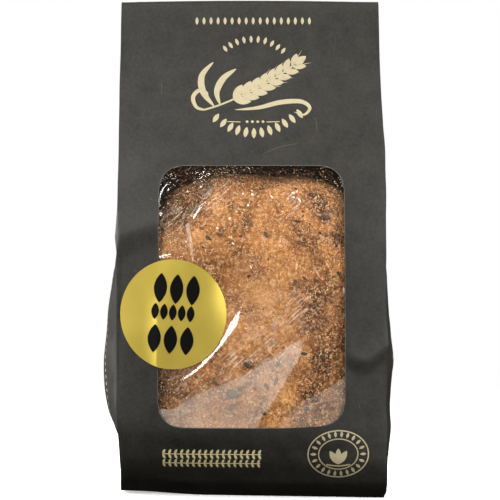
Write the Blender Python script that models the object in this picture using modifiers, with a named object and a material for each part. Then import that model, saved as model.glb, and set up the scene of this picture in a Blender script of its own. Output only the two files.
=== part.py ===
"""A loaf in a shut paper bag with a clear window and a round foil label.

Metres, +Z up. The bag stands on its block bottom, which lies at z = 0 round the origin, and its
windowed front panel faces -Y. The paper is folded over at the top, towards the back.
"""

import math
import random

import bmesh
import bpy
from mathutils import Matrix, Vector, noise

# The bag, as it stands filled.
PANEL_WIDTH = 0.1825
FOLD_HEIGHT = 0.346
PAPER = 0.0005
FLOOR_PAPER = 0.0009
CREASE_WIDTH = 0.0008
FOLD_BOW = 0.0012
FLAP_LENGTH = 0.050
FLAP_THICKNESS = 0.0016
CAVITY_TOP = 0.262
BASE_SKEW = 0.087
BASE_SHIFT = 0.0008
SKEW_END = 0.060
TOP_LEAN = -0.0010
CORNER_LIFT = 0.0034
LIFT_END = 0.030
BASE_FLAT_SHARE = 0.8

# The window, and the film glued behind it.
WINDOW_WIDTH = 0.1255
WINDOW_BOTTOM = 0.0504
WINDOW_TOP = 0.2269
WINDOW_CORNER = 0.016
FILM_MARGIN = 0.012
FILM_THICKNESS = 0.0002
GLUE_GAP = 0.0005

# The round label, stuck half on the paper and half on the film.
LABEL_DIAMETER = 0.0735
LABEL_SPAN = 0.975
LABEL_X = -0.0527
LABEL_Z = 0.1265
LABEL_THICKNESS = 0.00015
LABEL_GAP = 0.0004

# The loaf, standing on its end with its flat base to the window.
LOAF_WIDTH = 0.150
LOAF_DEPTH = 0.104
LOAF_HEIGHT = 0.2215
LOAF_X = 0.007
LOAF_Y = -0.007
LOAF_GAP = 0.0004
LOAF_PLAN_POWER = 3.3
LOAF_SIDE_POWER = 2.7
FILM_CLEARANCE = 0.0024
PAPER_CLEARANCE = 0.0015
BROAD_LUMP = (0.0020, 0.028)
FINE_LUMP = (0.0009, 0.011)
FLAKE_COUNT = 34
FLAKE_SEED = 7

# Grid of the faceted solids.
PANEL_STEPS = 16
GUSSET_STEPS = 6
ROW_STEP = 0.010

# Height above the table against a size, all in metres, joined by smooth curves.
FRONT_EDGE = ((0, 0.0300), (0.014, 0.0415), (0.030, 0.0480), (0.050, 0.0505), (0.170, 0.0495),
              (0.205, 0.0450), (0.245, 0.0335), (0.304, 0.0125), (0.342, 0.0040),
              (FOLD_HEIGHT, 0.0022))
BACK_EDGE = ((0, 0.0460), (0.020, 0.0490)) + FRONT_EDGE[4:]
FRONT_BULGE = ((0, 0), (0.014, 0.0020), (0.030, 0.0065), (0.050, 0.0105), (0.090, 0.0122),
               (0.150, 0.0108), (0.205, 0.0070), (0.245, 0.0035), (0.295, 0.0008), (FOLD_HEIGHT, 0))
BACK_BULGE = ((0, 0), (0.020, 0.003), (0.100, 0.007), (0.200, 0.004), (0.260, 0.001),
              (FOLD_HEIGHT, 0))
GUSSET_IN = ((0, 0), (0.020, 0.0015), (0.045, 0), (0.150, 0), (0.180, 0.006), (0.205, 0.017),
             (0.245, 0.029), (0.335, 0.036), (FOLD_HEIGHT, 0))
LEFT_OUT = ((0, 0), (0.034, 0.0015), (0.057, 0.0100), (0.074, 0.0120), (0.094, 0.0124),
            (0.116, 0.0109), (0.147, 0.0074), (0.179, 0.0010), (0.194, 0), (FOLD_HEIGHT, 0))
RIGHT_OUT = ((0, 0.0010), (0.030, 0.0046), (0.049, 0.0054), (0.074, 0.0064), (0.094, 0.0096),
             (0.113, 0.0074), (0.147, 0.0035), (0.179, 0), (FOLD_HEIGHT, 0))
HALF_WIDTH = ((0, 0.0895), (0.018, 0.0895), (0.050, PANEL_WIDTH / 2), (FOLD_HEIGHT, PANEL_WIDTH / 2))
PANEL_CURVE_POWER = 2.6


def read_curve(knots, height):
    """The size at this height, on a curve through the knots that never overshoots them."""
    height = min(max(height, knots[0][0]), knots[-1][0])
    slopes = [(b[1] - a[1]) / (b[0] - a[0]) for a, b in zip(knots, knots[1:])]
    tangents = [slopes[0]]
    for before, after in zip(slopes, slopes[1:]):
        both = before * after
        tangents.append(2 * both / (before + after) if both > 0 else 0.0)
    tangents.append(slopes[-1])
    span = next(i for i in range(len(slopes)) if height <= knots[i + 1][0])
    (start, low), (end, high) = knots[span], knots[span + 1]
    width = end - start
    t = (height - start) / width
    return ((2 * t**3 - 3 * t**2 + 1) * low + (t**3 - 2 * t**2 + t) * width * tangents[span]
            + (3 * t**2 - 2 * t**3) * high + (t**3 - t**2) * width * tangents[span + 1])


def smooth_step(share):
    share = min(max(share, 0.0), 1.0)
    return share * share * (3 - 2 * share)


def skew_and_shift(z):
    """How far the bag's base is folded askew at this height, and how far the bag leans."""
    near_base = smooth_step(1 - z / SKEW_END)
    near_top = smooth_step((z - 0.220) / 0.080)
    return BASE_SKEW * near_base, BASE_SHIFT * near_base + TOP_LEAN * near_top


def settle(x, y, z):
    """The base is folded a little askew, one corner curls up, and the top fold bows upwards."""
    skew, shift = skew_and_shift(z)
    corner = smooth_step((-x - 0.030) / 0.060) * smooth_step((-y - 0.005) / 0.040)
    lift = CORNER_LIFT * corner * max(0.0, 1 - z / LIFT_END)
    bow = FOLD_BOW * (1 - (2 * x / PANEL_WIDTH) ** 2) * smooth_step((z - 0.300) / 0.040)
    return Vector((x + shift, y - skew * x, z + lift + bow))


def across(x):
    """The share of a panel's bulge at this distance from its middle."""
    return 1 - min(1.0, abs(2 * x / PANEL_WIDTH)) ** PANEL_CURVE_POWER


def front_depth(x, z):
    return -(read_curve(FRONT_EDGE, z) + read_curve(FRONT_BULGE, z) * across(x))


def back_depth(x, z):
    flap = FLAP_THICKNESS if z > FOLD_HEIGHT - FLAP_LENGTH else 0.0
    return read_curve(BACK_EDGE, z) + read_curve(BACK_BULGE, z) * across(x) + flap


def gusset_reach(side, share, z):
    """How far the gusset stands out from (or folds in behind) the panel's edge."""
    out = read_curve(LEFT_OUT if side < 0 else RIGHT_OUT, z) * (1 - (2 * share - 1) ** 2)
    return out - read_curve(GUSSET_IN, z) * (1 - abs(2 * share - 1))


def front_point(x, z, inset):
    """A point of the front panel, or one laid behind (inset > 0) or in front of it."""
    return settle(x, front_depth(x, z) + inset, z)


def section(z, inset):
    """The bag's outline at one height, anticlockwise from above, drawn in by inset."""
    half = read_curve(HALF_WIDTH, z) - inset
    points = []
    for i in range(PANEL_STEPS + 1):
        x = half * (2 * i / PANEL_STEPS - 1)
        points.append((x, front_depth(x, z) + inset))
    for side in (1, -1):
        near = front_depth(side * half, z) + inset + CREASE_WIDTH
        far = back_depth(side * half, z) - inset - CREASE_WIDTH
        shares = [i / GUSSET_STEPS for i in range(GUSSET_STEPS + 1)]
        if side < 0:
            shares.reverse()
        for share in shares:
            reach = gusset_reach(side, share, z) - 0.6 * inset
            points.append((side * (half + reach), near + (far - near) * share))
        if side > 0:
            for i in range(PANEL_STEPS + 1):
                x = half * (1 - 2 * i / PANEL_STEPS)
                points.append((x, back_depth(x, z) - inset))
    return [settle(x, y, z) for x, y in points]


def row_heights(low, high):
    """Heights of the sections: close together at the base, the flap's end and the fold."""
    flap_end = FOLD_HEIGHT - FLAP_LENGTH
    close = [0.005, 0.010, 0.015, 0.022, flap_end - 0.0004, flap_end + 0.0004, 0.336, 0.3395]
    regular = [0.032 + ROW_STEP * i for i in range(int((FOLD_HEIGHT - 0.032) / ROW_STEP))]
    between = [z for z in close + regular if low + 0.002 < z < high - 0.001]
    return [low] + sorted(between) + [high]


def loft(name, sections):
    """A closed mesh through the sections, with a flat-centred base and a plain top."""
    mesh = bmesh.new()
    rings = [[mesh.verts.new(point) for point in ring] for ring in sections]
    floor_height = min(point.z for point in sections[0])
    flat = [mesh.verts.new((point.x * BASE_FLAT_SHARE, point.y * BASE_FLAT_SHARE, floor_height))
            for point in sections[0]]
    rings.insert(0, flat)
    for lower, upper in zip(rings, rings[1:]):
        for i in range(len(lower)):
            j = (i + 1) % len(lower)
            mesh.faces.new((lower[i], lower[j], upper[j], upper[i]))
    mesh.faces.new(list(reversed(rings[0])))
    mesh.faces.new(rings[-1])
    bmesh.ops.recalc_face_normals(mesh, faces=mesh.faces)
    return finish_mesh(name, mesh)


def finish_mesh(name, mesh):
    data = bpy.data.meshes.new(name)
    mesh.to_mesh(data)
    mesh.free()
    return bpy.data.objects.new(name, data)


def evaluated_copy(obj):
    """The object's mesh with its modifiers applied."""
    graph = bpy.context.evaluated_depsgraph_get()
    return bpy.data.meshes.new_from_object(obj.evaluated_get(graph), depsgraph=graph)


def make_material(name, colour, roughness, metallic=0.0, alpha=1.0):
    material = bpy.data.materials.new(name)
    material.use_nodes = True
    shader = material.node_tree.nodes["Principled BSDF"]
    shader.inputs["Base Color"].default_value = (*colour, 1.0)
    shader.inputs["Roughness"].default_value = roughness
    shader.inputs["Metallic"].default_value = metallic
    shader.inputs["Alpha"].default_value = alpha
    return material


def shade(obj, material, angle=math.radians(40)):
    obj.data.materials.clear()
    obj.data.materials.append(material)
    obj.data.shade_smooth()
    obj.data.set_sharp_from_angle(angle=angle)


def window_cutter():
    """A block with rounded corners that passes through the front panel alone."""
    mesh = bmesh.new()
    bmesh.ops.create_cube(mesh, size=1.0)
    height = WINDOW_TOP - WINDOW_BOTTOM
    bmesh.ops.scale(mesh, vec=(WINDOW_WIDTH, 0.050, height), verts=mesh.verts)
    corners = [edge for edge in mesh.edges
               if abs((edge.verts[0].co - edge.verts[1].co).normalized().y) > 0.9]
    bmesh.ops.bevel(mesh, geom=corners, offset=WINDOW_CORNER, segments=7, profile=0.5,
                    affect="EDGES")
    bmesh.ops.translate(mesh, vec=(0, -0.057, WINDOW_BOTTOM + height / 2), verts=mesh.verts)
    bmesh.ops.recalc_face_normals(mesh, faces=mesh.faces)
    return finish_mesh("window_cutter", mesh)


def make_bag(collection, cutters, material):
    """The paper: an outer form, hollowed from the floor to above the loaf, with its window cut."""
    bag = loft("bag", [section(z, 0.0) for z in row_heights(0.0, FOLD_HEIGHT)])
    cavity = loft("cavity_cutter", [section(z, PAPER) for z in row_heights(FLOOR_PAPER, CAVITY_TOP)])
    for cutter in (cavity, window_cutter()):
        cutters.objects.link(cutter)
        cutter.hide_render = True
        cutter.display_type = "WIRE"
        cut = bag.modifiers.new(cutter.name, "BOOLEAN")
        cut.operation = "DIFFERENCE"
        cut.object = cutter
    collection.objects.link(bag)
    shade(bag, material)
    return bag


def make_sheet(name, rows, closed, thickness, collection, material):
    """A thin sheet laid along rows of points, thickened away from the viewer."""
    mesh = bmesh.new()
    grid = [[mesh.verts.new(point) for point in row] for row in rows]
    for lower, upper in zip(grid, grid[1:]):
        for i in range(len(lower) - (0 if closed else 1)):
            j = (i + 1) % len(lower)
            mesh.faces.new((lower[i], lower[j], upper[j], upper[i]))
    if closed:
        mesh.faces.new(grid[0])
    bmesh.ops.recalc_face_normals(mesh, faces=mesh.faces)
    facing = sum((face.normal.y * face.calc_area() for face in mesh.faces), 0.0)
    if facing > 0:
        bmesh.ops.reverse_faces(mesh, faces=mesh.faces)
    sheet = finish_mesh(name, mesh)
    wall = sheet.modifiers.new("thickness", "SOLIDIFY")
    wall.thickness = thickness
    wall.offset = -1.0
    collection.objects.link(sheet)
    shade(sheet, material)
    return sheet


def make_film(collection, material):
    """Clear film behind the window, a margin wider than it all round."""
    inset = PAPER + GLUE_GAP
    low, high = WINDOW_BOTTOM - FILM_MARGIN, WINDOW_TOP + FILM_MARGIN
    half = WINDOW_WIDTH / 2 + FILM_MARGIN
    rows = []
    for i in range(21):
        z = low + (high - low) * i / 20
        rows.append([front_point(half * (2 * j / 14 - 1), z, inset) for j in range(15)])
    return make_sheet("window_film", rows, False, FILM_THICKNESS, collection, material)


def make_label(collection, material):
    """The round label, a skin that follows the panel's curve."""
    rings = []
    for radius_share in (0.3, 0.65, 1.0):
        radius = LABEL_DIAMETER / 2 * radius_share
        turns = [2 * math.pi * i / 48 for i in range(48)]
        rings.append([front_point(LABEL_X + LABEL_SPAN * radius * math.cos(t),
                                  LABEL_Z + radius * math.sin(t),
                                  -LABEL_GAP - LABEL_THICKNESS) for t in turns])
    return make_sheet("label", rings, True, LABEL_THICKNESS, collection, material)


def loaf_radius(direction):
    """Distance from the loaf's middle to its crust: a block with very round sides and ends."""
    plan = ((abs(direction.x) / (LOAF_WIDTH / 2)) ** LOAF_PLAN_POWER
            + (abs(direction.y) / (LOAF_DEPTH / 2)) ** LOAF_PLAN_POWER)
    side = plan ** (LOAF_SIDE_POWER / LOAF_PLAN_POWER)
    rise = (abs(direction.z) / (LOAF_HEIGHT / 2)) ** LOAF_SIDE_POWER
    return (side + rise) ** (-1 / LOAF_SIDE_POWER)


def hold_in_bag(point, floor):
    """Presses a point of the crust back where the film, the paper or the floor holds it."""
    z = max(point.z, floor)
    skew, shift = skew_and_shift(z)
    side = 1 if point.x > 0 else -1
    edge = read_curve(HALF_WIDTH, z) + gusset_reach(side, 0.5, z) - PAPER - PAPER_CLEARANCE
    x = min(max(point.x - shift, -edge), edge)
    y = max(point.y + skew * x, front_depth(x, z) + PAPER + GLUE_GAP + FILM_CLEARANCE)
    y = min(y, back_depth(x, z) - PAPER - PAPER_CLEARANCE)
    return Vector((x + shift, y - skew * x, z))


def make_loaf(collection, material):
    """One hearth loaf with a lumpy crust, and the largest flakes of its topping fused on."""
    floor = FLOOR_PAPER + LOAF_GAP
    middle = Vector((LOAF_X, LOAF_Y, floor + LOAF_HEIGHT / 2))
    mesh = bmesh.new()
    bmesh.ops.create_uvsphere(mesh, u_segments=52, v_segments=30, radius=1.0)
    for vert in mesh.verts:
        direction = vert.co.normalized()
        place = direction * loaf_radius(direction)
        lump = sum(height * noise.noise(place / size) for height, size in (BROAD_LUMP, FINE_LUMP))
        vert.co = hold_in_bag(middle + place + direction * (lump - 0.001), floor)
    bmesh.ops.recalc_face_normals(mesh, faces=mesh.faces)
    loaf = finish_mesh("loaf", mesh)
    collection.objects.link(loaf)
    flakes = bpy.data.collections.new("topping_flakes")
    bpy.context.scene.collection.children.link(flakes)
    add_flakes(loaf, flakes)
    join = loaf.modifiers.new("topping", "BOOLEAN")
    join.operation = "UNION"
    join.operand_type = "COLLECTION"
    join.collection = flakes
    join.solver = "MANIFOLD"
    bpy.context.view_layer.update()
    fused = evaluated_copy(loaf)
    loaf.modifiers.clear()
    loaf.data = fused
    for flake in list(flakes.objects):
        bpy.data.objects.remove(flake)
    bpy.data.collections.remove(flakes)
    shade(loaf, material, math.radians(50))
    return loaf


def add_flakes(loaf, flakes):
    """Onion flakes and large seeds, half sunk in the crust that shows in the window."""
    bpy.context.view_layer.update()
    rng = random.Random(FLAKE_SEED)
    placed = []
    while len(placed) < FLAKE_COUNT:
        x = rng.uniform(-0.052, 0.058)
        z = rng.uniform(0.052, 0.200)
        size = rng.uniform(0.0016, 0.0028)
        hit, place, normal, _ = loaf.ray_cast(Vector((x, -0.2, z)), Vector((0, 1, 0)))
        crowded = any((place - other).length < 0.010 for other in placed)
        if not hit or crowded or normal.y > -0.8:
            continue
        placed.append(place)
        mesh = bmesh.new()
        bmesh.ops.create_icosphere(mesh, subdivisions=1, radius=1.0)
        bmesh.ops.scale(mesh, vec=(size, size * rng.uniform(0.45, 0.8), 0.0009), verts=mesh.verts)
        turn = normal.to_track_quat("Z", "Y").to_matrix().to_4x4()
        spin = Matrix.Rotation(rng.uniform(0, math.pi), 4, "Z")
        bmesh.ops.transform(mesh, matrix=Matrix.Translation(place) @ turn @ spin, verts=mesh.verts)
        flakes.objects.link(finish_mesh(f"flake_{len(placed)}", mesh))


def main():
    for obj in list(bpy.data.objects):
        bpy.data.objects.remove(obj)
    scene = bpy.context.scene
    parts = bpy.data.collections.new("windowed_bread_bag")
    cutters = bpy.data.collections.new("cutters")
    scene.collection.children.link(parts)
    scene.collection.children.link(cutters)
    make_bag(parts, cutters, make_material("matt_black_paper", (0.040, 0.037, 0.032), 0.55))
    make_film(parts, make_material("clear_film", (0.9, 0.9, 0.9), 0.05, alpha=0.2))
    make_label(parts, make_material("gold_foil", (0.65, 0.46, 0.09), 0.3, metallic=0.9))
    make_loaf(parts, make_material("bread_crust", (0.50, 0.26, 0.10), 0.8))


main()
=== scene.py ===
# %% [markdown]
# # A loaf in a paper bag with a window
#
# The object is a dark loaf of bread, standing on its end in a shut bag of matt black paper. The
# bag has a window of clear film, a round gold label and a cream print of simple grain shapes.
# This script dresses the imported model: it loads the plain solids as a fixed frame and builds the
# finished surfaces in the same place, in metres, with +Z up and the window facing -Y.

# %% Load the frame
import math
import random

import bmesh
import bpy
from mathutils import Matrix, Vector, noise
from mathutils.bvhtree import BVHTree


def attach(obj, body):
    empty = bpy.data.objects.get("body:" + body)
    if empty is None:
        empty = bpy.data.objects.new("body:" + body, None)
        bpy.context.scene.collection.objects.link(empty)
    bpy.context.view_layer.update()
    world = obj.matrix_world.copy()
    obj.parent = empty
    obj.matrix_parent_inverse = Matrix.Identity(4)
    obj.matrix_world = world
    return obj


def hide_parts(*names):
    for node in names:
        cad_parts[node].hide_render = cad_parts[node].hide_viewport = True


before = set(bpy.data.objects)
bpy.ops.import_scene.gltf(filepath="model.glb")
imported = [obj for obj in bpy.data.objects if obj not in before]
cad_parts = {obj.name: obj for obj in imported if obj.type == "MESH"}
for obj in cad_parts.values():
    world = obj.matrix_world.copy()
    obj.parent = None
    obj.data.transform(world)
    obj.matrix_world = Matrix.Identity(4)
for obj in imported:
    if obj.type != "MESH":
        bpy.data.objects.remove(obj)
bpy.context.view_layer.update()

print("nodes in the frame:", sorted(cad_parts))

# %% [markdown]
# ## The camera
#
# A product photograph is taken from about a metre away with a long lens, level with the middle of
# the pack, so that upright edges stay upright. A camera that is turned by exactly 90 degrees
# about X looks level along +Y. The lens follows from how large the bag stands in the picture.

# %% Set up the camera
CAMERA_PLACE = (-0.001, -0.962, 0.1695)
FRAME_PIXELS = 500
FOCAL_PIXELS = 1350
SENSOR = 36.0


def make_camera():
    """A level camera in front of the window."""
    data = bpy.data.cameras.new("camera")
    data.sensor_width = SENSOR
    data.lens = SENSOR * FOCAL_PIXELS / FRAME_PIXELS
    data.clip_start = 0.05
    camera = bpy.data.objects.new("camera", data)
    camera.location = CAMERA_PLACE
    camera.rotation_euler = (math.radians(90), 0, 0)
    bpy.context.scene.collection.objects.link(camera)
    bpy.context.scene.camera = camera
    return camera


camera = make_camera()
print("lens", camera.data.lens, "mm")

# %% [markdown]
# ## Small helpers
#
# Colours are picked as the hex values that a screen shows, and the renderer wants linear light,
# so one function turns one into the other. Another adds a shader or geometry node with its
# settings and links in one call, which keeps each material readable from top to bottom.

# %% Colour, node and mesh helpers
def linear(hex_colour):
    """A screen colour such as "#54504a" as linear red, green, blue and alpha."""
    parts = [int(hex_colour[i:i + 2], 16) / 255 for i in (1, 3, 5)]
    return (*[c / 12.92 if c <= 0.04045 else ((c + 0.055) / 1.055) ** 2.4 for c in parts], 1.0)


def add_node(tree, kind, settings=None, inputs=None):
    """Adds one node. Its inputs are named, numbered or in order: values or nodes."""
    node = tree.nodes.new(kind)
    for name, value in (settings or {}).items():
        setattr(node, name, value)
    for name, value in inputs.items() if isinstance(inputs, dict) else enumerate(inputs or ()):
        if isinstance(value, bpy.types.Node):
            value = value.outputs[0]
        if isinstance(value, bpy.types.NodeSocket):
            tree.links.new(value, node.inputs[name])
        else:
            node.inputs[name].default_value = value
    return node


def new_material(name):
    """An empty node material: the material, its tree and its Object coordinates."""
    material = bpy.data.materials.new(name)
    material.use_nodes = True
    tree = material.node_tree
    tree.nodes.clear()
    return material, tree, add_node(tree, "ShaderNodeTexCoord").outputs["Object"]


def link_piece(name, mesh, *materials, smooth=True):
    """Turns a bmesh into an object in the scene, with its materials."""
    data = bpy.data.meshes.new(name)
    mesh.to_mesh(data)
    mesh.free()
    for material in materials:
        data.materials.append(material)
    if smooth:
        data.shade_smooth()
    else:
        data.shade_flat()
    piece = bpy.data.objects.new(name, data)
    bpy.context.scene.collection.objects.link(piece)
    return piece


def settle_modifiers(piece):
    """Replaces the piece's mesh with what its modifiers make, and removes them."""
    graph = bpy.context.evaluated_depsgraph_get()
    piece.data = bpy.data.meshes.new_from_object(piece.evaluated_get(graph), depsgraph=graph)
    piece.modifiers.clear()
    return piece


def give_thickness(piece, thickness, inner_material=0):
    """A wall of the given thickness behind the sheet's face."""
    wall = piece.modifiers.new("wall", "SOLIDIFY")
    wall.thickness = thickness
    wall.offset = -1.0
    wall.material_offset = inner_material
    return settle_modifiers(piece)


def hand_over(piece, replaced):
    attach(piece, "root")
    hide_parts(replaced)
    piece.data.calc_loop_triangles()
    print(piece.name + ":", len(piece.data.loop_triangles), "triangles")
    return piece


def join_rows(mesh, rows, closed=False):
    """Faces between rows of points; closed joins each row's last point to its first as well."""
    for lower, upper in zip(rows, rows[1:]):
        for i in range(len(lower) if closed else len(lower) - 1):
            j = (i + 1) % len(lower)
            mesh.faces.new((lower[i], lower[j], upper[j], upper[i]))


FRONT, BACK = Vector((0, -1, 0)), Vector((0, 1, 0))
LEFT, RIGHT = Vector((-1, 0, 0)), Vector((1, 0, 0))


def straight_in(tree, x, z):
    """Where a line straight in through the window meets a surface, and the normal there."""
    return tree.ray_cast(Vector((x, -0.2, z)), BACK)[:2]


def face_towards(mesh, facing):
    """Turns the faces of a nearly flat sheet to one side."""
    mesh.normal_update()
    wrong = [face for face in mesh.faces if face.normal.dot(facing) < 0]
    bmesh.ops.reverse_faces(mesh, faces=wrong)
    mesh.normal_update()


# %% [markdown]
# ## The stage: floor, world and lights
#
# The photograph is a cut-out on pure white, lit by large soft boxes: the paper is lightest where
# it leans back and nearly black where it curls under. A large area light is a soft box, and its
# size decides how soft its shadows are. Film and foil are mirrors, so they show nothing but the
# boxes themselves: a few small ones are placed only for a glint on the film's folds or a band on
# the label, and one behind lights the back for the other views. The floor is pale, and the world
# is white to the camera alone, so the dark surroundings keep the film and the foil clear of a
# grey haze.

# %% Build the floor, the world and the lights
STAGE_MIDDLE = Vector((0, 0, 0.16))
# each soft box: degrees to the right of the camera, degrees up, distance, width, height, watts
SOFT_BOXES = {
    "box_above": (5, 68, 1.2, 1.0, 0.6, 9.0),
    "box_right": (62, 25, 1.2, 0.5, 0.9, 17.0),
    "box_upper_left": (-38, 32, 1.2, 0.42, 0.38, 6.4),
    "box_left": (-92, 14, 1.0, 0.4, 0.9, 22.0),
    "box_label_band": (-54, -2, 1.2, 0.14, 0.45, 0.92),
    "box_label_fill": (-20, 4, 1.3, 0.60, 0.60, 0.25),
    "box_label_glow": (31, 8, 1.3, 0.16, 0.22, 0.65),
    "box_top_glint": (-8, 57, 1.2, 0.45, 0.06, 1.3),
    "box_low_fill": (8, -5, 1.6, 1.4, 0.5, 13.5),
    "box_behind": (172, 38, 1.3, 1.1, 0.7, 18.0),
}
# these two light the matt surfaces alone, so that the film and the foil don't mirror them
MATT_ONLY = ("box_low_fill", "box_above")


def make_floor():
    """A pale table top that fades into the white background."""
    material, tree, place = new_material("pale_table_top")
    distance = add_node(tree, "ShaderNodeVectorMath", {"operation": "LENGTH"}, [place])
    fade = add_node(tree, "ShaderNodeMapRange", inputs=[distance.outputs["Value"], 0.25, 0.75])
    surface = add_node(tree, "ShaderNodeBsdfDiffuse", inputs=[linear("#f4f3f1")])
    glow = add_node(tree, "ShaderNodeEmission", inputs=[linear("#ffffff"), 0.45])
    lit = add_node(tree, "ShaderNodeAddShader", inputs=[surface, glow])
    clear = add_node(tree, "ShaderNodeBsdfTransparent")
    mix = add_node(tree, "ShaderNodeMixShader", inputs=[fade, lit, clear])
    add_node(tree, "ShaderNodeOutputMaterial", inputs=[mix])
    mesh = bmesh.new()
    bmesh.ops.create_circle(mesh, cap_ends=True, segments=96, radius=0.8)
    floor = link_piece("table_top", mesh, material, smooth=False)
    floor.visible_diffuse = False
    floor.visible_glossy = False
    return floor


def make_world():
    """White behind the object, and a dim studio for everything that the light meets."""
    world = bpy.data.worlds.new("studio")
    world.use_nodes = True
    tree = world.node_tree
    tree.nodes.clear()
    seen = add_node(tree, "ShaderNodeLightPath").outputs["Is Camera Ray"]
    white = add_node(tree, "ShaderNodeBackground", inputs=[linear("#ffffff")])
    direction = add_node(tree, "ShaderNodeTexCoord").outputs["Generated"]
    upwards = add_node(tree, "ShaderNodeSeparateXYZ", inputs=[direction]).outputs["Z"]
    strength = add_node(tree, "ShaderNodeMapRange", inputs=[upwards, -0.15, 0.5, 0.0, 0.35])
    dim = add_node(tree, "ShaderNodeBackground", inputs=[linear("#8f8f8c"), strength])
    mix = add_node(tree, "ShaderNodeMixShader", inputs=[seen, dim, white])
    add_node(tree, "ShaderNodeOutputWorld", inputs=[mix])
    bpy.context.scene.world = world


def make_soft_box(name, turn, rise, distance, width, height, watts):
    """One soft box that faces the middle of the bag."""
    turn, rise = math.radians(turn), math.radians(rise)
    towards = Vector((math.sin(turn) * math.cos(rise), -math.cos(turn) * math.cos(rise),
                      math.sin(rise)))
    data = bpy.data.lights.new(name, "AREA")
    data.shape = "RECTANGLE"
    data.size = width
    data.size_y = height
    data.energy = watts
    box = bpy.data.objects.new(name, data)
    box.location = STAGE_MIDDLE + towards * distance
    box.rotation_euler = (-towards).to_track_quat("-Z", "Y").to_euler()
    box.visible_camera = False
    box.visible_glossy = name not in MATT_ONLY
    bpy.context.scene.collection.objects.link(box)


make_floor()
make_world()
for name, settings in SOFT_BOXES.items():
    make_soft_box(name, *settings)
bpy.context.scene.view_settings.view_transform = "Standard"
print("soft boxes:", ", ".join(SOFT_BOXES))

# %% [markdown]
# ## The form of the filled bag
#
# A gusseted bag is a tube of four panels. Filled and stood up, its front bulges over the loaf and
# then leans back to the fold, its sides swell where the loaf pushes and fold inwards above it,
# and its base is narrower than its middle. Each of those is one smooth curve of a size against
# the height, and a horizontal section of the bag reads them all. The numbers are those of the
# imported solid, so the finished paper lies on it.

# %% Curves and sections of the bag
PANEL_WIDTH = 0.1825
FOLD_HEIGHT = 0.346
CREASE_WIDTH = 0.0008
FOLD_BOW = 0.0012
FLAP_LENGTH = 0.050
BASE_SKEW = 0.087
SKEW_END = 0.060
TOP_LEAN = -0.0010
CORNER_LIFT = 0.0034
LIFT_END = 0.030
PANEL_CURVE_POWER = 2.6
ROLL_HEIGHT = 0.0035
ROLL_DEPTH = 0.0036


def smooth_curve(*knots):
    """A function through the knots (height, size) that never overshoots them."""
    slopes = [(b[1] - a[1]) / (b[0] - a[0]) for a, b in zip(knots, knots[1:])]
    tangents = [slopes[0]]
    for before, after in zip(slopes, slopes[1:]):
        both = before * after
        tangents.append(2 * both / (before + after) if both > 0 else 0.0)
    tangents.append(slopes[-1])

    def read(height):
        height = min(max(height, knots[0][0]), knots[-1][0])
        span = next(i for i in range(len(slopes)) if height <= knots[i + 1][0])
        (start, low), (end, high) = knots[span], knots[span + 1]
        width = end - start
        t = (height - start) / width
        return ((2 * t**3 - 3 * t**2 + 1) * low + (t**3 - 2 * t**2 + t) * width * tangents[span]
                + (3 * t**2 - 2 * t**3) * high + (t**3 - t**2) * width * tangents[span + 1])

    return read


UPPER_EDGE = ((0.050, 0.0505), (0.170, 0.0495), (0.205, 0.0450), (0.245, 0.0335), (0.304, 0.0125),
              (0.342, 0.0040), (FOLD_HEIGHT, 0.0022))
front_edge = smooth_curve((0, 0.0300), (0.014, 0.0415), (0.030, 0.0480), *UPPER_EDGE)
back_edge = smooth_curve((0, 0.0460), (0.020, 0.0490), *UPPER_EDGE)
front_bulge = smooth_curve((0, 0), (0.014, 0.0020), (0.030, 0.0065), (0.050, 0.0105),
                           (0.090, 0.0122), (0.150, 0.0108), (0.205, 0.0070), (0.245, 0.0035),
                           (0.295, 0.0008), (FOLD_HEIGHT, 0))
back_bulge = smooth_curve((0, 0), (0.020, 0.003), (0.100, 0.007), (0.200, 0.004), (0.260, 0.001),
                          (FOLD_HEIGHT, 0))
gusset_in = smooth_curve((0, 0), (0.020, 0.0015), (0.045, 0), (0.150, 0), (0.180, 0.006),
                         (0.205, 0.017), (0.245, 0.029), (0.335, 0.036), (FOLD_HEIGHT, 0))
left_out = smooth_curve((0, 0), (0.034, 0.0015), (0.057, 0.0100), (0.074, 0.0120), (0.094, 0.0124),
                        (0.116, 0.0109), (0.147, 0.0074), (0.179, 0.0010), (0.194, 0),
                        (FOLD_HEIGHT, 0))
right_out = smooth_curve((0, 0.0010), (0.030, 0.0046), (0.049, 0.0054), (0.074, 0.0064),
                         (0.094, 0.0096), (0.113, 0.0074), (0.147, 0.0035), (0.179, 0),
                         (FOLD_HEIGHT, 0))
# the folded base flares a millimetre past the solid's, and the paper above it is pinched in
half_width = smooth_curve((0, 0.0908), (0.010, 0.0902), (0.020, 0.0895), (0.035, 0.0903),
                          (0.050, PANEL_WIDTH / 2), (FOLD_HEIGHT, PANEL_WIDTH / 2))
base_shift = smooth_curve((0, 0.0001), (0.020, 0.0013), (0.050, 0.0006), (0.065, 0),
                          (FOLD_HEIGHT, 0))


def smooth_step(share):
    """A share from 0 to 1 that starts and ends gently."""
    share = min(max(share, 0.0), 1.0)
    return share * share * (3 - 2 * share)


def skew_and_shift(z):
    """How far the base is folded askew at this height, and how far the bag leans."""
    near_base = smooth_step(1 - z / SKEW_END)
    near_top = smooth_step((z - 0.220) / 0.080)
    return BASE_SKEW * near_base, base_shift(z) + TOP_LEAN * near_top


def settle(x, y, z):
    """The base is folded a little askew, one corner curls up, and the top fold bows upwards."""
    skew, shift = skew_and_shift(z)
    corner = smooth_step((-x - 0.030) / 0.060) * smooth_step((-y - 0.005) / 0.040)
    lift = CORNER_LIFT * corner * max(0.0, 1 - z / LIFT_END)
    bow = FOLD_BOW * (1 - (2 * x / PANEL_WIDTH) ** 2) * smooth_step((z - 0.300) / 0.040)
    return Vector((x + shift, y - skew * x, z + lift + bow))


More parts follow.
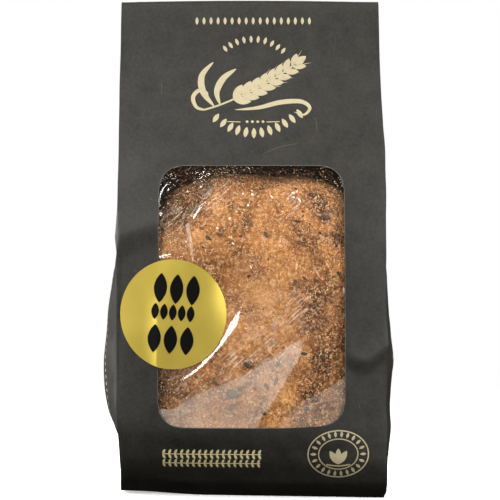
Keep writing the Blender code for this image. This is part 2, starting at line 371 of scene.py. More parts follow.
def across(x):
    """The share of a panel's bulge at this distance from its middle."""
    return 1 - min(1.0, abs(2 * x / PANEL_WIDTH)) ** PANEL_CURVE_POWER


def rolled(depth, z):
    """Rounds the last few millimetres over into the fold."""
    rise = (z - FOLD_HEIGHT + ROLL_HEIGHT) / ROLL_HEIGHT
    return depth if rise <= 0 else ROLL_DEPTH * math.sqrt(max(0.0, 1 - rise * rise))


def front_depth(x, z):
    return -rolled(front_edge(z) + front_bulge(z) * across(x), z)


def back_depth(x, z):
    return rolled(back_edge(z) + back_bulge(z) * across(x), z)


DEEPEST_GUSSET = 0.036


def gusset_reach(side, share, z):
    """How far the gusset stands out from (or folds in behind) the panel's edge."""
    out = (left_out if side < 0 else right_out)(z) * (1 - (2 * share - 1) ** 2)
    return out - min(gusset_in(z), DEEPEST_GUSSET) * (1 - abs(2 * share - 1))


print("front of the bag at mid height:", round(front_depth(0, 0.1) * 1000, 1), "mm")

# %% [markdown]
# ## The paper's relief
#
# Coated kraft paper stays smooth over a tight loaf, but it is never flat: it waves a little, the
# side gussets buckle where they are pushed out, and there is a sharp fold just above the base.
# The relief is a height above the smooth form, from noise and from named folds, and moves each
# point along its normal. A broad fold has to be in the mesh, because it changes the outline and
# the shading alike.

# %% Relief of the paper
BASE_FOLD_HEIGHT = 0.0125
BASE_FOLD_CORNER = 0.0095
BASE_FOLD_RIDGE = 0.0017
BASE_FOLD_REACH = 0.022
# creases where a panel bends over the loaf: the crease's points (x, z), the rise above it and the
# drop below it, and how far the rise, the drop and the way back take, all in metres
PANEL_BENDS = (
    (((-0.0905, 0.1795), (-0.0540, 0.1905)), 0.0010, 0.0012, 0.025, 0.018, 0.090),
    (((0.0590, 0.1060), (0.0691, 0.0975), (0.0772, 0.0958), (0.0845, 0.1008), (0.0920, 0.1065)),
     0.0012, 0.0012, 0.022, 0.013, 0.045),
)
GUSSET_CREASE, GUSSET_CREASE_WIDTH = 0.0010, 0.003
BASE_TRIANGLE, BASE_TRIANGLE_RIDGE = 0.044, 0.0013
# the heights and sizes of each panel's waves
FRONT_WAVES = (0.0005, 0.060), (0.00022, 0.021)
BACK_WAVES = (0.0014, 0.055), (0.0006, 0.018)
GUSSET_WAVES, GUSSET_BUCKLES = ((0.0012, 0.030),), ((0.0022, 0.024), (0.0007, 0.009))


def distance_to_line(x, z, start, end):
    """Distance from a point to a straight stretch, and the share of the way along it."""
    run = (end[0] - start[0], end[1] - start[1])
    share = ((x - start[0]) * run[0] + (z - start[1]) * run[1]) / (run[0]**2 + run[1]**2)
    share = min(max(share, 0.0), 1.0)
    return math.hypot(x - start[0] - share * run[0], z - start[1] - share * run[1]), share


def waves(point, *scales):
    """A sum of noises, each given as a height and a size in metres."""
    return sum(height * noise.noise(point / size) for height, size in scales)


def bend_height(x, z):
    """A panel's creases: the paper leans back above each, and turns down below it."""
    height = 0.0
    for line, rise, drop, rise_length, drop_length, recovery in PANEL_BENDS:
        if not line[0][0] < x < line[-1][0]:
            continue
        (x0, z0), (x1, z1) = next(leg for leg in zip(line, line[1:]) if x <= leg[1][0])
        above = z - z0 - (z1 - z0) * (x - x0) / (x1 - x0)
        fade = smooth_step((abs(x) - min(abs(line[0][0]), abs(line[-1][0]))) / 0.010)
        if above > 0:
            height += fade * rise * max(0.0, 1 - above / rise_length) ** 2
        else:
            fallen = smooth_step(-above / drop_length)
            back = smooth_step((-above - drop_length) / recovery)
            height += fade * (rise - (rise + drop) * fallen + drop * back)
    return height


def front_relief(point):
    """The front's waves and creases, and the ridge of the fold just above the base."""
    x, _, z = point
    height = waves(point, *FRONT_WAVES) + bend_height(x, z)
    fold = BASE_FOLD_HEIGHT + BASE_FOLD_CORNER * smooth_step((-x - 0.050) / 0.036)
    reach = fold if z < fold else BASE_FOLD_REACH
    return height + BASE_FOLD_RIDGE * max(0.0, 1 - abs(z - fold) / reach)


def side_relief(point):
    """The gusset's buckles, calmer where it is folded in, its pressed crease and its base folds."""
    x, y, z = point
    depth = front_edge(z) + back_edge(z)
    share = (y + skew_and_shift(z)[0] * x + front_edge(z)) / depth
    upright = Vector((x, y, z * 0.35))
    height = waves(upright, *GUSSET_BUCKLES) + waves(point, *GUSSET_WAVES)
    # the paper is taut where the gusset turns from pushed out to folded in
    height *= min(1.0, depth / 0.1) ** 2 * (1 - 0.85 * math.exp(-((z - 0.180) / 0.016) ** 2))
    height -= GUSSET_CREASE * math.exp(-((share - 0.5) * depth / GUSSET_CREASE_WIDTH) ** 2)
    triangle = 0.004 + BASE_TRIANGLE * (1 - abs(2 * share - 1))
    height += BASE_TRIANGLE_RIDGE * math.exp(-((z - triangle) / 0.003) ** 2)
    at_edge = min(max(x, -0.0904), 0.0904)
    return height + bend_height(at_edge, z) * smooth_step(1 - share * depth / 0.012)


def back_relief(point):
    return waves(point, *BACK_WAVES)


# %% [markdown]
# ## The paper bag
#
# The skin is one closed loft of sections, like the real tube of paper, with a rolled fold on top.
# The window is opened by deleting the faces inside its outline and sliding the new border onto
# it, which leaves a clean edge without a Boolean. Solidify then gives the sheet its thickness,
# with the plain inside of the paper as a second material.

# %% Paper materials
def paper_material(name, dark, light, roughness):
    """Coated kraft: a felt of fibres under a thin matt coat, so the sheen is broad and soft."""
    material, tree, place = new_material(name)
    # a noise scale of 0.5 / size gives lumps about that size: felt marks 6 mm apart, a mottle of
    # 1.1 mm and fibres of 0.35 mm, the last two drawn as coarse as the picture can show
    felt, mottle, fibre = (
        add_node(tree, "ShaderNodeTexNoise", inputs={
            "Vector": place, "Scale": 0.5 / size, "Detail": detail, "Roughness": harshness})
        for size, detail, harshness in ((0.006, 3, 0.5), (0.0011, 3, 0.7), (0.00035, 2, 0.5)))
    shade = add_node(tree, "ShaderNodeMath", {"operation": "MULTIPLY_ADD"}, [felt, 0.6, mottle])
    tone = add_node(tree, "ShaderNodeMapRange", inputs=[shade, 0.55, 1.05])
    colour = add_node(tree, "ShaderNodeMix", {"data_type": "RGBA"},
                      {0: tone, 6: linear(dark), 7: linear(light)})
    height = add_node(tree, "ShaderNodeMath", {"operation": "MULTIPLY_ADD"}, [felt, 1.5, fibre])
    bump = add_node(tree, "ShaderNodeBump", inputs={
        "Strength": 0.35, "Distance": 0.00012, "Height": height})
    sheen = add_node(tree, "ShaderNodeMapRange",
                     inputs=[felt, 0.2, 0.8, roughness - 0.05, roughness + 0.05])
    shader = add_node(tree, "ShaderNodeBsdfPrincipled", inputs={
        "Base Color": colour.outputs[2], "Specular IOR Level": 0.25, "Roughness": sheen,
        "Normal": bump})
    add_node(tree, "ShaderNodeOutputMaterial", inputs=[shader])
    return material


black_paper = paper_material("matt_black_coated_kraft", "#201e1a", "#302e2a", 0.50)
inner_paper = paper_material("uncoated_inside_of_the_paper", "#3a2c1f", "#4a3928", 0.85)

# %% Loft the paper, open the window and give it a thickness
FRONT_COLUMNS, SIDE_COLUMNS, BACK_COLUMNS = 120, 26, 30
ROW_STEP = 0.00175
PAPER_THICKNESS = 0.00035
WINDOW_WIDTH = 0.1255
WINDOW_BOTTOM, WINDOW_TOP = 0.0504, 0.2269
WINDOW_CORNER = 0.016
WINDOW_BOTTOM_RISE = 0.0018


def section(z):
    """One section of the bag's outer face, anticlockwise from above, each point with its panel."""
    half = half_width(z)
    points = []
    for i in range(FRONT_COLUMNS + 1):
        x = half * (2 * i / FRONT_COLUMNS - 1)
        points.append((x, front_depth(x, z), "front"))
    for side in (1, -1):
        near = front_depth(side * half, z) + CREASE_WIDTH
        far = back_depth(side * half, z) - CREASE_WIDTH
        if near > far:
            near = far = (near + far) / 2
        shares = [i / SIDE_COLUMNS for i in range(SIDE_COLUMNS + 1)]
        for share in shares if side > 0 else reversed(shares):
            reach = gusset_reach(side, share, z)
            points.append((side * (half + reach), near + (far - near) * share, "side"))
        if side > 0:
            for i in range(BACK_COLUMNS + 1):
                x = half * (1 - 2 * i / BACK_COLUMNS)
                points.append((x, back_depth(x, z), "back"))
    return [(settle(x, y, z), panel) for x, y, panel in points]


def row_heights():
    """Even rows up to the fold, then rows at even angles round it."""
    start = FOLD_HEIGHT - ROLL_HEIGHT
    count = int(start / ROW_STEP)
    rows = [start * i / count for i in range(count + 1)]
    return rows + [start + ROLL_HEIGHT * math.sin(math.radians(a)) for a in (20, 40, 60, 75, 86)]


RELIEF = {"front": front_relief, "side": side_relief, "back": back_relief}


def loft_skin():
    """The paper's outer face, with its relief, closed at the fold and the base."""
    mesh = bmesh.new()
    rings, panels = [], []
    for z in row_heights():
        ring = section(z)
        rings.append([mesh.verts.new(point) for point, _ in ring])
        panels.append([panel for _, panel in ring])
    join_rows(mesh, rings, closed=True)
    mesh.faces.new(rings[-1])
    mesh.faces.new(list(reversed(rings[0])))
    bmesh.ops.recalc_face_normals(mesh, faces=mesh.faces)
    mesh.normal_update()
    moves = []
    for ring, ring_panels in zip(rings, panels):
        for vert, panel in zip(ring, ring_panels):
            calm = smooth_step((FOLD_HEIGHT - vert.co.z) / 0.05) * smooth_step(vert.co.z / 0.004)
            moves.append((vert, vert.normal * RELIEF[panel](vert.co) * calm))
    for vert, move in moves:
        vert.co += move
    mesh.normal_update()
    return mesh


def window_distance(x, z):
    """Distance from the window's outline, negative inside it."""
    rise = WINDOW_BOTTOM_RISE * smooth_step((x - 0.015) / 0.05) * smooth_step((0.1 - z) / 0.04)
    centre = (WINDOW_TOP + WINDOW_BOTTOM) / 2
    dx = abs(x) - (WINDOW_WIDTH / 2 - WINDOW_CORNER)
    dz = abs(z - rise - centre) - ((WINDOW_TOP - WINDOW_BOTTOM) / 2 - WINDOW_CORNER)
    return math.hypot(max(dx, 0), max(dz, 0)) + min(max(dx, dz), 0) - WINDOW_CORNER


def onto_outline(x, z):
    """The nearest point of the window's outline."""
    for _ in range(3):
        d = window_distance(x, z)
        step = 1e-5
        slope_x = (window_distance(x + step, z) - d) / step
        slope_z = (window_distance(x, z + step) - d) / step
        x, z = x - d * slope_x, z - d * slope_z
    return x, z


def on_face(x, z, lift, side=-1):
    """The point of the front (side -1) or back (side 1) face at x and z, lifted off it."""
    place, normal, _, _ = skin_tree.ray_cast(Vector((x, side * 0.3, z)), Vector((0, -side, 0)))
    return place + normal * lift


def open_window(mesh):
    """Cuts the window out of the front and slides the new border onto its outline."""
    inside = [face for face in mesh.faces
              if face.normal.y < -0.3 and window_distance(*face.calc_center_median().xz) < 0]
    bmesh.ops.delete(mesh, geom=inside, context="FACES")
    border = {vert for edge in mesh.edges if edge.is_boundary for vert in edge.verts}
    for vert in border:
        x, z = onto_outline(vert.co.x, vert.co.z)
        vert.co = on_face(x, z, 0)


skin = loft_skin()
skin_tree = BVHTree.FromBMesh(skin)
open_window(skin)
paper_bag = give_thickness(link_piece("paper_bag", skin, black_paper, inner_paper),
                           PAPER_THICKNESS, inner_material=1)
PAPER_SHARP = math.radians(50)
paper_bag.data.set_sharp_from_angle(angle=PAPER_SHARP)
hand_over(paper_bag, "bag")

# %% [markdown]
# ## The flap and the seam at the back
#
# The top of the bag is folded over to the back, where it hangs as a flap with a pinked edge, cut
# by the toothed knife of the bag machine. Below it runs the glued seam that makes a tube of the
# flat web of paper. Both are single sheets, laid on the back panel and a little proud of it.

# %% Lay the flap and the seam on the back
FLAP_LIFT, FLAP_CURL = 0.0007, 0.0012
PINKING_PITCH, PINKING_DEPTH = 0.0036, 0.0016
SEAM_X, SEAM_WIDTH, SEAM_LIFT = 0.021, 0.014, 0.0004
SEAM_FOOT, SEAM_END = 0.004, 0.010


def back_sheet(name, columns, rows, place):
    """A sheet on the back; place gives x, z and the lift for a column and a row."""
    mesh = bmesh.new()
    grid = [[mesh.verts.new(on_face(*place(i, j), side=1)) for i in range(columns + 1)]
            for j in range(rows + 1)]
    join_rows(mesh, grid[::-1])
    face_towards(mesh, BACK)
    piece = give_thickness(link_piece(name, mesh, black_paper, inner_paper), PAPER_THICKNESS,
                           inner_material=1)
    piece.data.set_sharp_from_angle(angle=PAPER_SHARP)
    return hand_over(piece, "bag")


FLAP_ROWS, FLAP_COLUMNS = 16, 2 * round(PANEL_WIDTH / PINKING_PITCH)
FLAP_START, FLAP_INSET = 0.0030, 0.0010
SEAM_ROWS, SEAM_COLUMNS = 60, 4


def flap_place(i, j):
    """The flap hangs from the fold, stands off more towards its edge, and is pinked."""
    share = j / FLAP_ROWS
    z = FOLD_HEIGHT - FLAP_START - (FLAP_LENGTH - FLAP_START) * share
    x = skew_and_shift(z)[1] + (PANEL_WIDTH / 2 - FLAP_INSET) * (2 * i / FLAP_COLUMNS - 1)
    if j == FLAP_ROWS and i % 2:
        z += PINKING_DEPTH
    wave = 0.0005 * noise.noise(Vector((x / 0.030, 5.0, share)))
    return x, z, FLAP_LIFT + (FLAP_CURL + wave) * share * share


def seam_place(i, j):
    """The seam runs up the back, from just above the base to just under the fold."""
    z = SEAM_FOOT + (FOLD_HEIGHT - SEAM_END - SEAM_FOOT) * j / SEAM_ROWS
    return SEAM_X + SEAM_WIDTH * (i / SEAM_COLUMNS - 0.5), z, SEAM_LIFT


back_sheet("folded_flap", FLAP_COLUMNS, FLAP_ROWS, flap_place)
back_sheet("back_seam", SEAM_COLUMNS, SEAM_ROWS, seam_place)

# %% [markdown]
# ## The clear film
#
# The film is glued behind the paper round the window. It is so thin that light goes straight
# through: a transparent shader with a mirror-like coat, mixed by Fresnel, is truer here than
# refracting glass. What tells the eye that it is there are its folds. They are modelled in the
# sheet: long creases along the pulls of the real film, small crumples in the corners, and one
# flat-sided fold along the stiff edge of the label, tilted so that it mirrors a soft box as one
# white streak. The pale veils and one narrow streak, where facets of the film would mirror the
# bright floor and the lights, are painted reflections: white mixed in, sharp-edged at creases.
# Fine pale hair lines, where small creases would catch the light, are painted reflections too.

# %% The film's creases and painted reflections
FILM_MARGIN = 0.011
FILM_INSET = 0.0010
FINE_STEP, COARSE_STEP = 0.00064, 0.00094
FILM_THICKNESS = 0.00003
FILM_MIRROR = 0.05
LABEL_DIAMETER, LABEL_SPAN = 0.0735, 0.975
LABEL_X, LABEL_Z = -0.0527, 0.1265

# each crease: its points (x, z), its height and its width, all in metres
CREASES = (
    (((-0.0262, 0.0995), (-0.0425, 0.0850), (-0.0585, 0.0610)), 0.0006, 0.0010),
    (((-0.0220, 0.0990), (-0.0390, 0.0820), (-0.0560, 0.0600)), 0.0004, 0.0009),
    (((-0.0600, 0.0625), (-0.0330, 0.0745), (-0.0030, 0.0870), (0.0140, 0.0970),
      (0.0330, 0.1105)), 0.0004, 0.0012),
    (((0.0345, 0.1035), (0.0180, 0.0730), (0.0030, 0.0505)), 0.0004, 0.0012),
    (((0.0150, 0.0505), (0.0340, 0.0670), (0.0510, 0.0760), (0.0640, 0.0850)), 0.0004, 0.0012),
    (((-0.0425, 0.1900), (-0.0405, 0.1760), (-0.0395, 0.1560)), 0.00036, 0.0013),
    (((-0.0395, 0.1890), (-0.0330, 0.1990), (-0.0230, 0.2090)), 0.0004, 0.0012),
    (((0.0060, 0.1245), (0.0120, 0.1290), (0.0190, 0.1330)), 0.0003, 0.0012),
    (((-0.0040, 0.1110), (0.0130, 0.1130), (0.0250, 0.1190), (0.0330, 0.1260)), 0.0003, 0.0010),
    (((0.0640, 0.1300), (0.0480, 0.1200), (0.0340, 0.1040)), 0.00015, 0.0008),
    (((0.0640, 0.1130), (0.0500, 0.1020), (0.0380, 0.0900)), 0.00015, 0.0008),
)
# each patch of painted reflection, a pale veil or streak: how strongly it is painted, and its
# outline
PAINTED_VEIL_PATCHES = (
    (1.65, (-0.0640, 0.0618), (-0.0520, 0.0630), (-0.0420, 0.0705), (-0.0305, 0.0755),
     (-0.0117, 0.0830), (-0.0030, 0.0870), (0.0070, 0.0932), (0.0140, 0.0972), (0.0242, 0.1050),
     (0.0330, 0.1105),
     (0.0345, 0.1035), (0.0302, 0.0940), (0.0182, 0.0742), (0.0130, 0.0656), (0.0070, 0.0588),
     (0.0020, 0.0450), (-0.0640, 0.0450)),
    (0.8, (0.0140, 0.0450), (0.0224, 0.0562), (0.0284, 0.0632), (0.0344, 0.0681), (0.0421, 0.0724),
     (0.0515, 0.0766), (0.0660, 0.0865), (0.0660, 0.0450)),
    (1.7, (-0.0444, 0.1866), (-0.0420, 0.1880), (-0.0400, 0.1760), (-0.0388, 0.1620),
     (-0.0396, 0.1610), (-0.0416, 0.1740)),
)


def ridge(x, z, points, height, width):
    """Height of a crease at this place: a soft ridge that dies away at both ends."""
    legs = list(zip(points, points[1:]))
    nearest = min((distance_to_line(x, z, a, b) + (i,) for i, (a, b) in enumerate(legs)))
    distance, share, leg = nearest
    if distance > 4 * width:
        return 0.0
    along = (leg + share) / len(legs)
    taper = smooth_step(along / 0.15) * smooth_step((1 - along) / 0.35)
    return height * taper * math.exp(-(distance / width) ** 2)


# the film folds up along the label's stiff edge: points (x, z) and the width of the bright flank
LABEL_FOLD = ((-0.0075, 0.1295, 0.0016), (-0.0120, 0.1195, 0.0052), (-0.0180, 0.1100, 0.0034),
              (-0.0262, 0.0998, 0.0026), (-0.0335, 0.0928, 0.0040), (-0.0405, 0.0872, 0.0042),
              (-0.0470, 0.0828, 0.0036), (-0.0540, 0.0790, 0.0012))
# the flank is steeper at its lower end, so that all of it mirrors one soft box
UPPER_SLOPE, LOWER_SLOPE, FOLD_BACK_SLOPE = 0.42, 0.48, 0.26
STEEPER_BELOW, STEEPER_WITHIN = 0.108, 0.010
FOLD_REACH = 0.015


def label_fold(x, z):
    """A fold with a flat bright flank that rises away from the label, and a gentler far side."""
    best = 1.0
    for (x0, z0, w0), (x1, z1, w1) in zip(LABEL_FOLD, LABEL_FOLD[1:]):
        distance, share = distance_to_line(x, z, (x0, z0), (x1, z1))
        if distance < best:
            best, width = distance, w0 + (w1 - w0) * share
            beyond = (x - x0) * (z0 - z1) - (z - z0) * (x0 - x1)
    if best > FOLD_REACH:
        return 0.0
    # the line runs along the middle of the flank; beyond is negative towards the label
    across_flank = -best if beyond < 0 else best
    steeper = smooth_step((STEEPER_BELOW - z) / STEEPER_WITHIN)
    slope = UPPER_SLOPE + (LOWER_SLOPE - UPPER_SLOPE) * steeper
    top = width / 2
    if across_flank < -top:
        return 0.0
    if across_flank < top:
        return slope * (across_flank + top)
    return max(0.0, slope * width - FOLD_BACK_SLOPE * (across_flank - top))


def inside_outline(x, z, outline):
    """Whether a point lies in a closed outline, by counting the sides that it lies left of."""
    inside = False
    for (x0, z0), (x1, z1) in zip(outline, outline[1:] + outline[:1]):
        if (z0 > z) != (z1 > z) and x < (x1 - x0) * (z - z0) / (z1 - z0) + x0:
            inside = not inside
    return inside


def label_distance(x, z):
    """Distance outwards from the label's edge."""
    return math.hypot((x - LABEL_X) / LABEL_SPAN, z - LABEL_Z) - LABEL_DIAMETER / 2


# the roll at the label's free edge: its depth, its width on the label and beyond it, and the
# direction that it faces
ROLL_DROP, ROLL_WIDTH, ROLL_RECOVERY = 0.0045, 0.020, 0.045
ROLL_ANGLE = math.radians(14)
# the pucker over the label's top edge
PUCKER_HEIGHT, PUCKER_WIDTH, PUCKER_GAP = 0.00085, 0.0013, 0.0016
PUCKER_ABOVE = 0.152


def label_roll(x, z):
    """How far the label's free right edge, and the film with it, is rolled back into the bag."""
    angle = math.atan2(z - LABEL_Z, x - LABEL_X) - ROLL_ANGLE
    side = max(0.0, math.cos(angle)) ** 4
    distance = label_distance(x, z)
    rolled_back = min(1.0, max(0.0, 1 + distance / ROLL_WIDTH)) ** 1.5
    return ROLL_DROP * side * rolled_back * (1 - smooth_step(distance / ROLL_RECOVERY))


# where the film is crumpled, and where pale hair lines are painted as reflections of fine
# creases: x, z, radius and how much
CRUMPLES = ((-0.0558, 0.2163, 0.0062, 1.0), (-0.0340, 0.2163, 0.0060, 1.0),
            (-0.0424, 0.2080, 0.0035, 0.6), (-0.0592, 0.1970, 0.0050, 0.8),
            (-0.0480, 0.2000, 0.0050, 0.25), (-0.0590, 0.1790, 0.0050, 0.2),
            (0.0023, 0.2216, 0.0030, 0.3), (0.0237, 0.2205, 0.0030, 0.3),
            (-0.0300, 0.2020, 0.0050, 0.15), (0.0560, 0.2120, 0.0060, 0.4),
            (-0.0600, 0.0560, 0.0050, 0.4))
PAINTED_HAIR_LINE_SPOTS = ((0.0060, 0.1090, 0.0180, 1), (0.0270, 0.1290, 0.0150, 1), (-0.0420, 0.0730, 0.0120, 1),
           (-0.0100, 0.0930, 0.0120, 1), (-0.0320, 0.1990, 0.0080, 1), (-0.0200, 0.2080, 0.0070, 1),
           (0.0280, 0.2040, 0.0070, 1), (-0.0520, 0.1900, 0.0080, 1))
EDGE_CRUMPLES = 0.004
# the film's broad waves, each with its height and size
FILM_WAVES = (0.0006, 0.035), (0.00015, 0.012)


def near_spots(x, z, spots):
    """How much of something is here, where it is gathered in round spots."""
    return sum(amount * math.exp(-((x - spot_x) ** 2 + (z - spot_z) ** 2) / radius ** 2)
               for spot_x, spot_z, radius, amount in spots)


def crumpled(x, z):
    """How much the film is crumpled: most at the top left, and along the window's edges."""
    placed = near_spots(x, z, CRUMPLES)
    edge = smooth_step(1 + window_distance(x, z) / EDGE_CRUMPLES)
    return 0.04 + min(1.0, placed + (0.6 if x < 0 else 0.3) * edge)


def crumple_waves(x, z):
    """Small sharp creases that run up to the right at 45 degrees, the way the film is pulled."""
    along, between = (x + z) * 0.707, (z - x) * 0.707
    broad = noise.noise(Vector((along / 0.0075, 3.0, between / 0.0034)))
    fine = noise.noise(Vector((along / 0.0036, 9.0, between / 0.0019)))
    return 0.0008 * (1 - 2 * abs(broad)) + 0.0003 * fine


def film_relief(x, z):
    """Height of the film above the plane that it is glued in."""
    fold = label_fold(x, z)
    height = waves(Vector((x, 0, z)), *FILM_WAVES)
    height += crumpled(x, z) * crumple_waves(x, z)
    height += sum(ridge(x, z, *crease) for crease in CREASES)
    # the waves die out on the fold's flank, which keeps its glint in one piece
    height = height * max(0.0, 1 - fold / 0.0005) + fold
    pucker = math.exp(-((label_distance(x, z) - PUCKER_GAP) / PUCKER_WIDTH) ** 2)
    height += PUCKER_HEIGHT * pucker * smooth_step((z - PUCKER_ABOVE) / 0.008)
    # it is flat under the label, low near the window's edge, and held where it is glued
    clear_of_label = smooth_step((label_distance(x, z) + 0.0005) / 0.0015)
    inside = -window_distance(x, z)
    height = min(height, 0.0004 + 0.6 * max(0.0, inside))
    held_flat = smooth_step(1 + inside / 0.003)
    return (height * clear_of_label - label_roll(x, z)) * held_flat


def film_material():
    """Cast polypropylene film, glossy on both faces, with painted reflections: veils, hair lines.
    """
    material, tree, place = new_material("clear_polypropylene_film")
    see_through = add_node(tree, "ShaderNodeBsdfTransparent", inputs=[linear("#fdfdfd")])
    shine = add_node(tree, "ShaderNodeBsdfGlossy", inputs={"Roughness": 0.06})
    # Schlick's rule: 5% of the light is reflected head on, nearly all of it at a glancing angle
    tilt = add_node(tree, "ShaderNodeLayerWeight", inputs=[0.5]).outputs["Facing"]
    power = add_node(tree, "ShaderNodeMath", {"operation": "POWER"}, [tilt, 5.0])
    mirror = add_node(tree, "ShaderNodeMapRange", inputs=[power, 0, 1, FILM_MIRROR, 1])
    film = add_node(tree, "ShaderNodeMixShader", inputs=[mirror, see_through, shine])
    # the pale veils are a painted reflection: a white diffuse mixed in where the attribute is set
    painted_veil_white = add_node(tree, "ShaderNodeBsdfDiffuse", inputs=[linear("#f8e8d8")])
    painted_veil, painted_hair_lines = (add_node(tree, "ShaderNodeAttribute", {"attribute_name": name}).outputs["Fac"]
                      for name in ("painted_veil", "painted_hair_lines"))
    # the painted veil is a little patchy, in clumps about 4 mm across
    clumps = add_node(tree, "ShaderNodeTexNoise", inputs={
        "Vector": place, "Scale": 0.5 / 0.004, "Detail": 4})
    patchy = add_node(tree, "ShaderNodeMapRange", inputs=[clumps, 0.3, 0.7, 0.055, 0.085])
    share = add_node(tree, "ShaderNodeMath", {"operation": "MULTIPLY"}, [painted_veil, patchy])
    # painted hair lines, pale where fine creases would catch the light: noise drawn out to 12 mm
    # along the pull of the film, which runs up to the right
    along, between = (add_node(tree, "ShaderNodeVectorMath", {"operation": "DOT_PRODUCT"},
                               [place, direction]).outputs["Value"]
                      for direction in ((59.0, 0, 54.0), (-1010.0, 0, 1100.0)))
    drawn_out = add_node(tree, "ShaderNodeCombineXYZ", inputs={"X": along, "Z": between})
    lines = add_node(tree, "ShaderNodeTexNoise", inputs={
        "Vector": drawn_out, "Scale": 1, "Detail": 2})
    faint = add_node(tree, "ShaderNodeMapRange", inputs=[lines, 0.55, 0.68, 0.0, 0.34])
    total = add_node(tree, "ShaderNodeMath", {"operation": "MULTIPLY_ADD"}, [painted_hair_lines, faint, share])
    mix = add_node(tree, "ShaderNodeMixShader", inputs=[total, film, painted_veil_white])
    add_node(tree, "ShaderNodeOutputMaterial", inputs=[mix])
    return material


# %% Lay the film behind the window
def steps_between(low, middle, high, first_step, second_step):
    """Even places from low to high, with another step on each side of the middle."""
    first, second = round((middle - low) / first_step), round((high - middle) / second_step)
    return ([low + (middle - low) * i / first for i in range(first)]
            + [middle + (high - middle) * i / second for i in range(second + 1)])


def make_film():
    """The film, with its painted veils and hair lines as attributes, and a tree to find it by."""
    half = WINDOW_WIDTH / 2 + FILM_MARGIN
    low, high = WINDOW_BOTTOM - FILM_MARGIN, WINDOW_TOP + FILM_MARGIN
    # the mesh is finest at the top left, where the film is crumpled most
    columns = steps_between(-half, -0.018, half, FINE_STEP, COARSE_STEP)
    rows = steps_between(low, 0.150, high, COARSE_STEP, FINE_STEP)
    mesh = bmesh.new()
    painted_veil = mesh.verts.layers.float.new("painted_veil")
    painted_hair_lines = mesh.verts.layers.float.new("painted_hair_lines")
    grid = []
    for z in rows:
        line = []
        for x in columns:
            base = on_face(x, z, -FILM_INSET - FILM_THICKNESS)
            vert = mesh.verts.new(base - Vector((0, film_relief(x, z), 0)))
            # how strongly the pale veils are painted here, as a painted reflection
            vert[painted_veil] = sum(veil_strength for veil_strength, *outline in PAINTED_VEIL_PATCHES
                              if inside_outline(x, z, outline))
            # where pale hair lines are painted, as reflections of fine creases
            vert[painted_hair_lines] = near_spots(x, z, PAINTED_HAIR_LINE_SPOTS)
            line.append(vert)
        grid.append(line)
    join_rows(mesh, grid)
    mesh.normal_update()
    tree = BVHTree.FromBMesh(mesh)
    film = give_thickness(link_piece("clear_film", mesh, film_material()), FILM_THICKNESS)
    hand_over(film, "window_film")
    return tree


film_tree = make_film()

# %% [markdown]
# ## The loaf
#
# The loaf was baked on its flat side, which now faces the window. It is a block with very round
# ends: the radius in each direction comes from one formula, and noise of three sizes makes the
# lumps, dents and pores of the crust. Each point is then pressed back to where the film and the
# paper hold it. The crust gets most of its mesh on the side that shows.

# %% Crust materials
# where the crust is painted paler (above 0) or darker (below 0): x, z, radius in mm, and how
# much. Most follow the bake; the dark ones at the upper left and in the lower left corner are
# painted shade on sides that turn away, and the faint pale ones at x -55 and -58 painted light
BAKE_AND_PAINTED_SHADE_PATCHES = (
    (-11, 193, 10, -0.5), (47, 177, 14, -0.35), (30, 180, 10, -0.5), (50, 192, 5, -1.4),
    (56, 116, 18, -0.95), (47, 143, 15, -0.45), (36, 124, 9, -0.4), (52, 86, 15, -0.6),
    (-31, 169, 13, -0.35), (-18, 156, 11, -0.3), (-1, 155, 7, -0.35), (-46, 73, 12, -0.5),
    (-58, 76, 9, -0.9), (-8, 113, 7, -0.35), (-60, 192, 10, -0.8), (48, 201, 5, -1.0),
    (-50, 206, 12, -1.3), (-58, 168, 12, 0.2), (-36, 214, 8, -0.9), (-24, 203, 10, 0.6),
    (44, 68, 13, -1.2), (-55, 180, 8, 0.1), (40, 208, 9, -0.7),
    (-51, 193, 8, -0.8), (-44, 200, 8, -0.8), (-38, 207, 7, -0.8), (-29, 213, 6, -0.8),
    (-2, 189, 6, -0.5), (58, 197, 5, -0.8), (58, 176, 6, -1.0), (30, 147, 6, -0.8),
    (52, 105, 9, -1.0), (-3, 93, 5, -0.9), (8, 60, 5, -0.9), (48, 98, 5, -0.9),
    (6, 209, 9, -0.3), (-37, 178, 8, 0.6), (41, 199, 8, -0.2), (0, 100, 9, 0.6),
    (16, 136, 19, 0.7), (2, 116, 10, 0.5), (26, 203, 13, 0.05), (9, 180, 13, 0.3),
    (12, 163, 9, 0.35), (20, 68, 9, 0.6), (4, 141, 10, 0.4),
    (32, 156, 11, 0.3), (52, 160, 9, 0.25), (23, 79, 8, 0.4), (-30, 62, 14, 0.2),
)


# from scorched to pale: where each colour stands on the scale of the bake, with its painted shade
CRUST_COLOURS = ((0.22, "#4c2a17"), (0.36, "#764828"), (0.50, "#a46a3a"), (0.63, "#c0844a"),
                 (0.80, "#d2995c"))


def paleness_with_painted_shade(x, z):
    """How pale the crust is painted here, from -1, dark, to 1, pale: the bake, with painted shade.
    """
    total = 0.0
    for patch_x, patch_z, radius, amount in BAKE_AND_PAINTED_SHADE_PATCHES:
        distance = math.hypot(x * 1000 - patch_x, z * 1000 - patch_z) / radius
        if distance < 2.2:
            total += amount * math.exp(-distance * distance)
    return min(max(total, -1.0), 1.0)


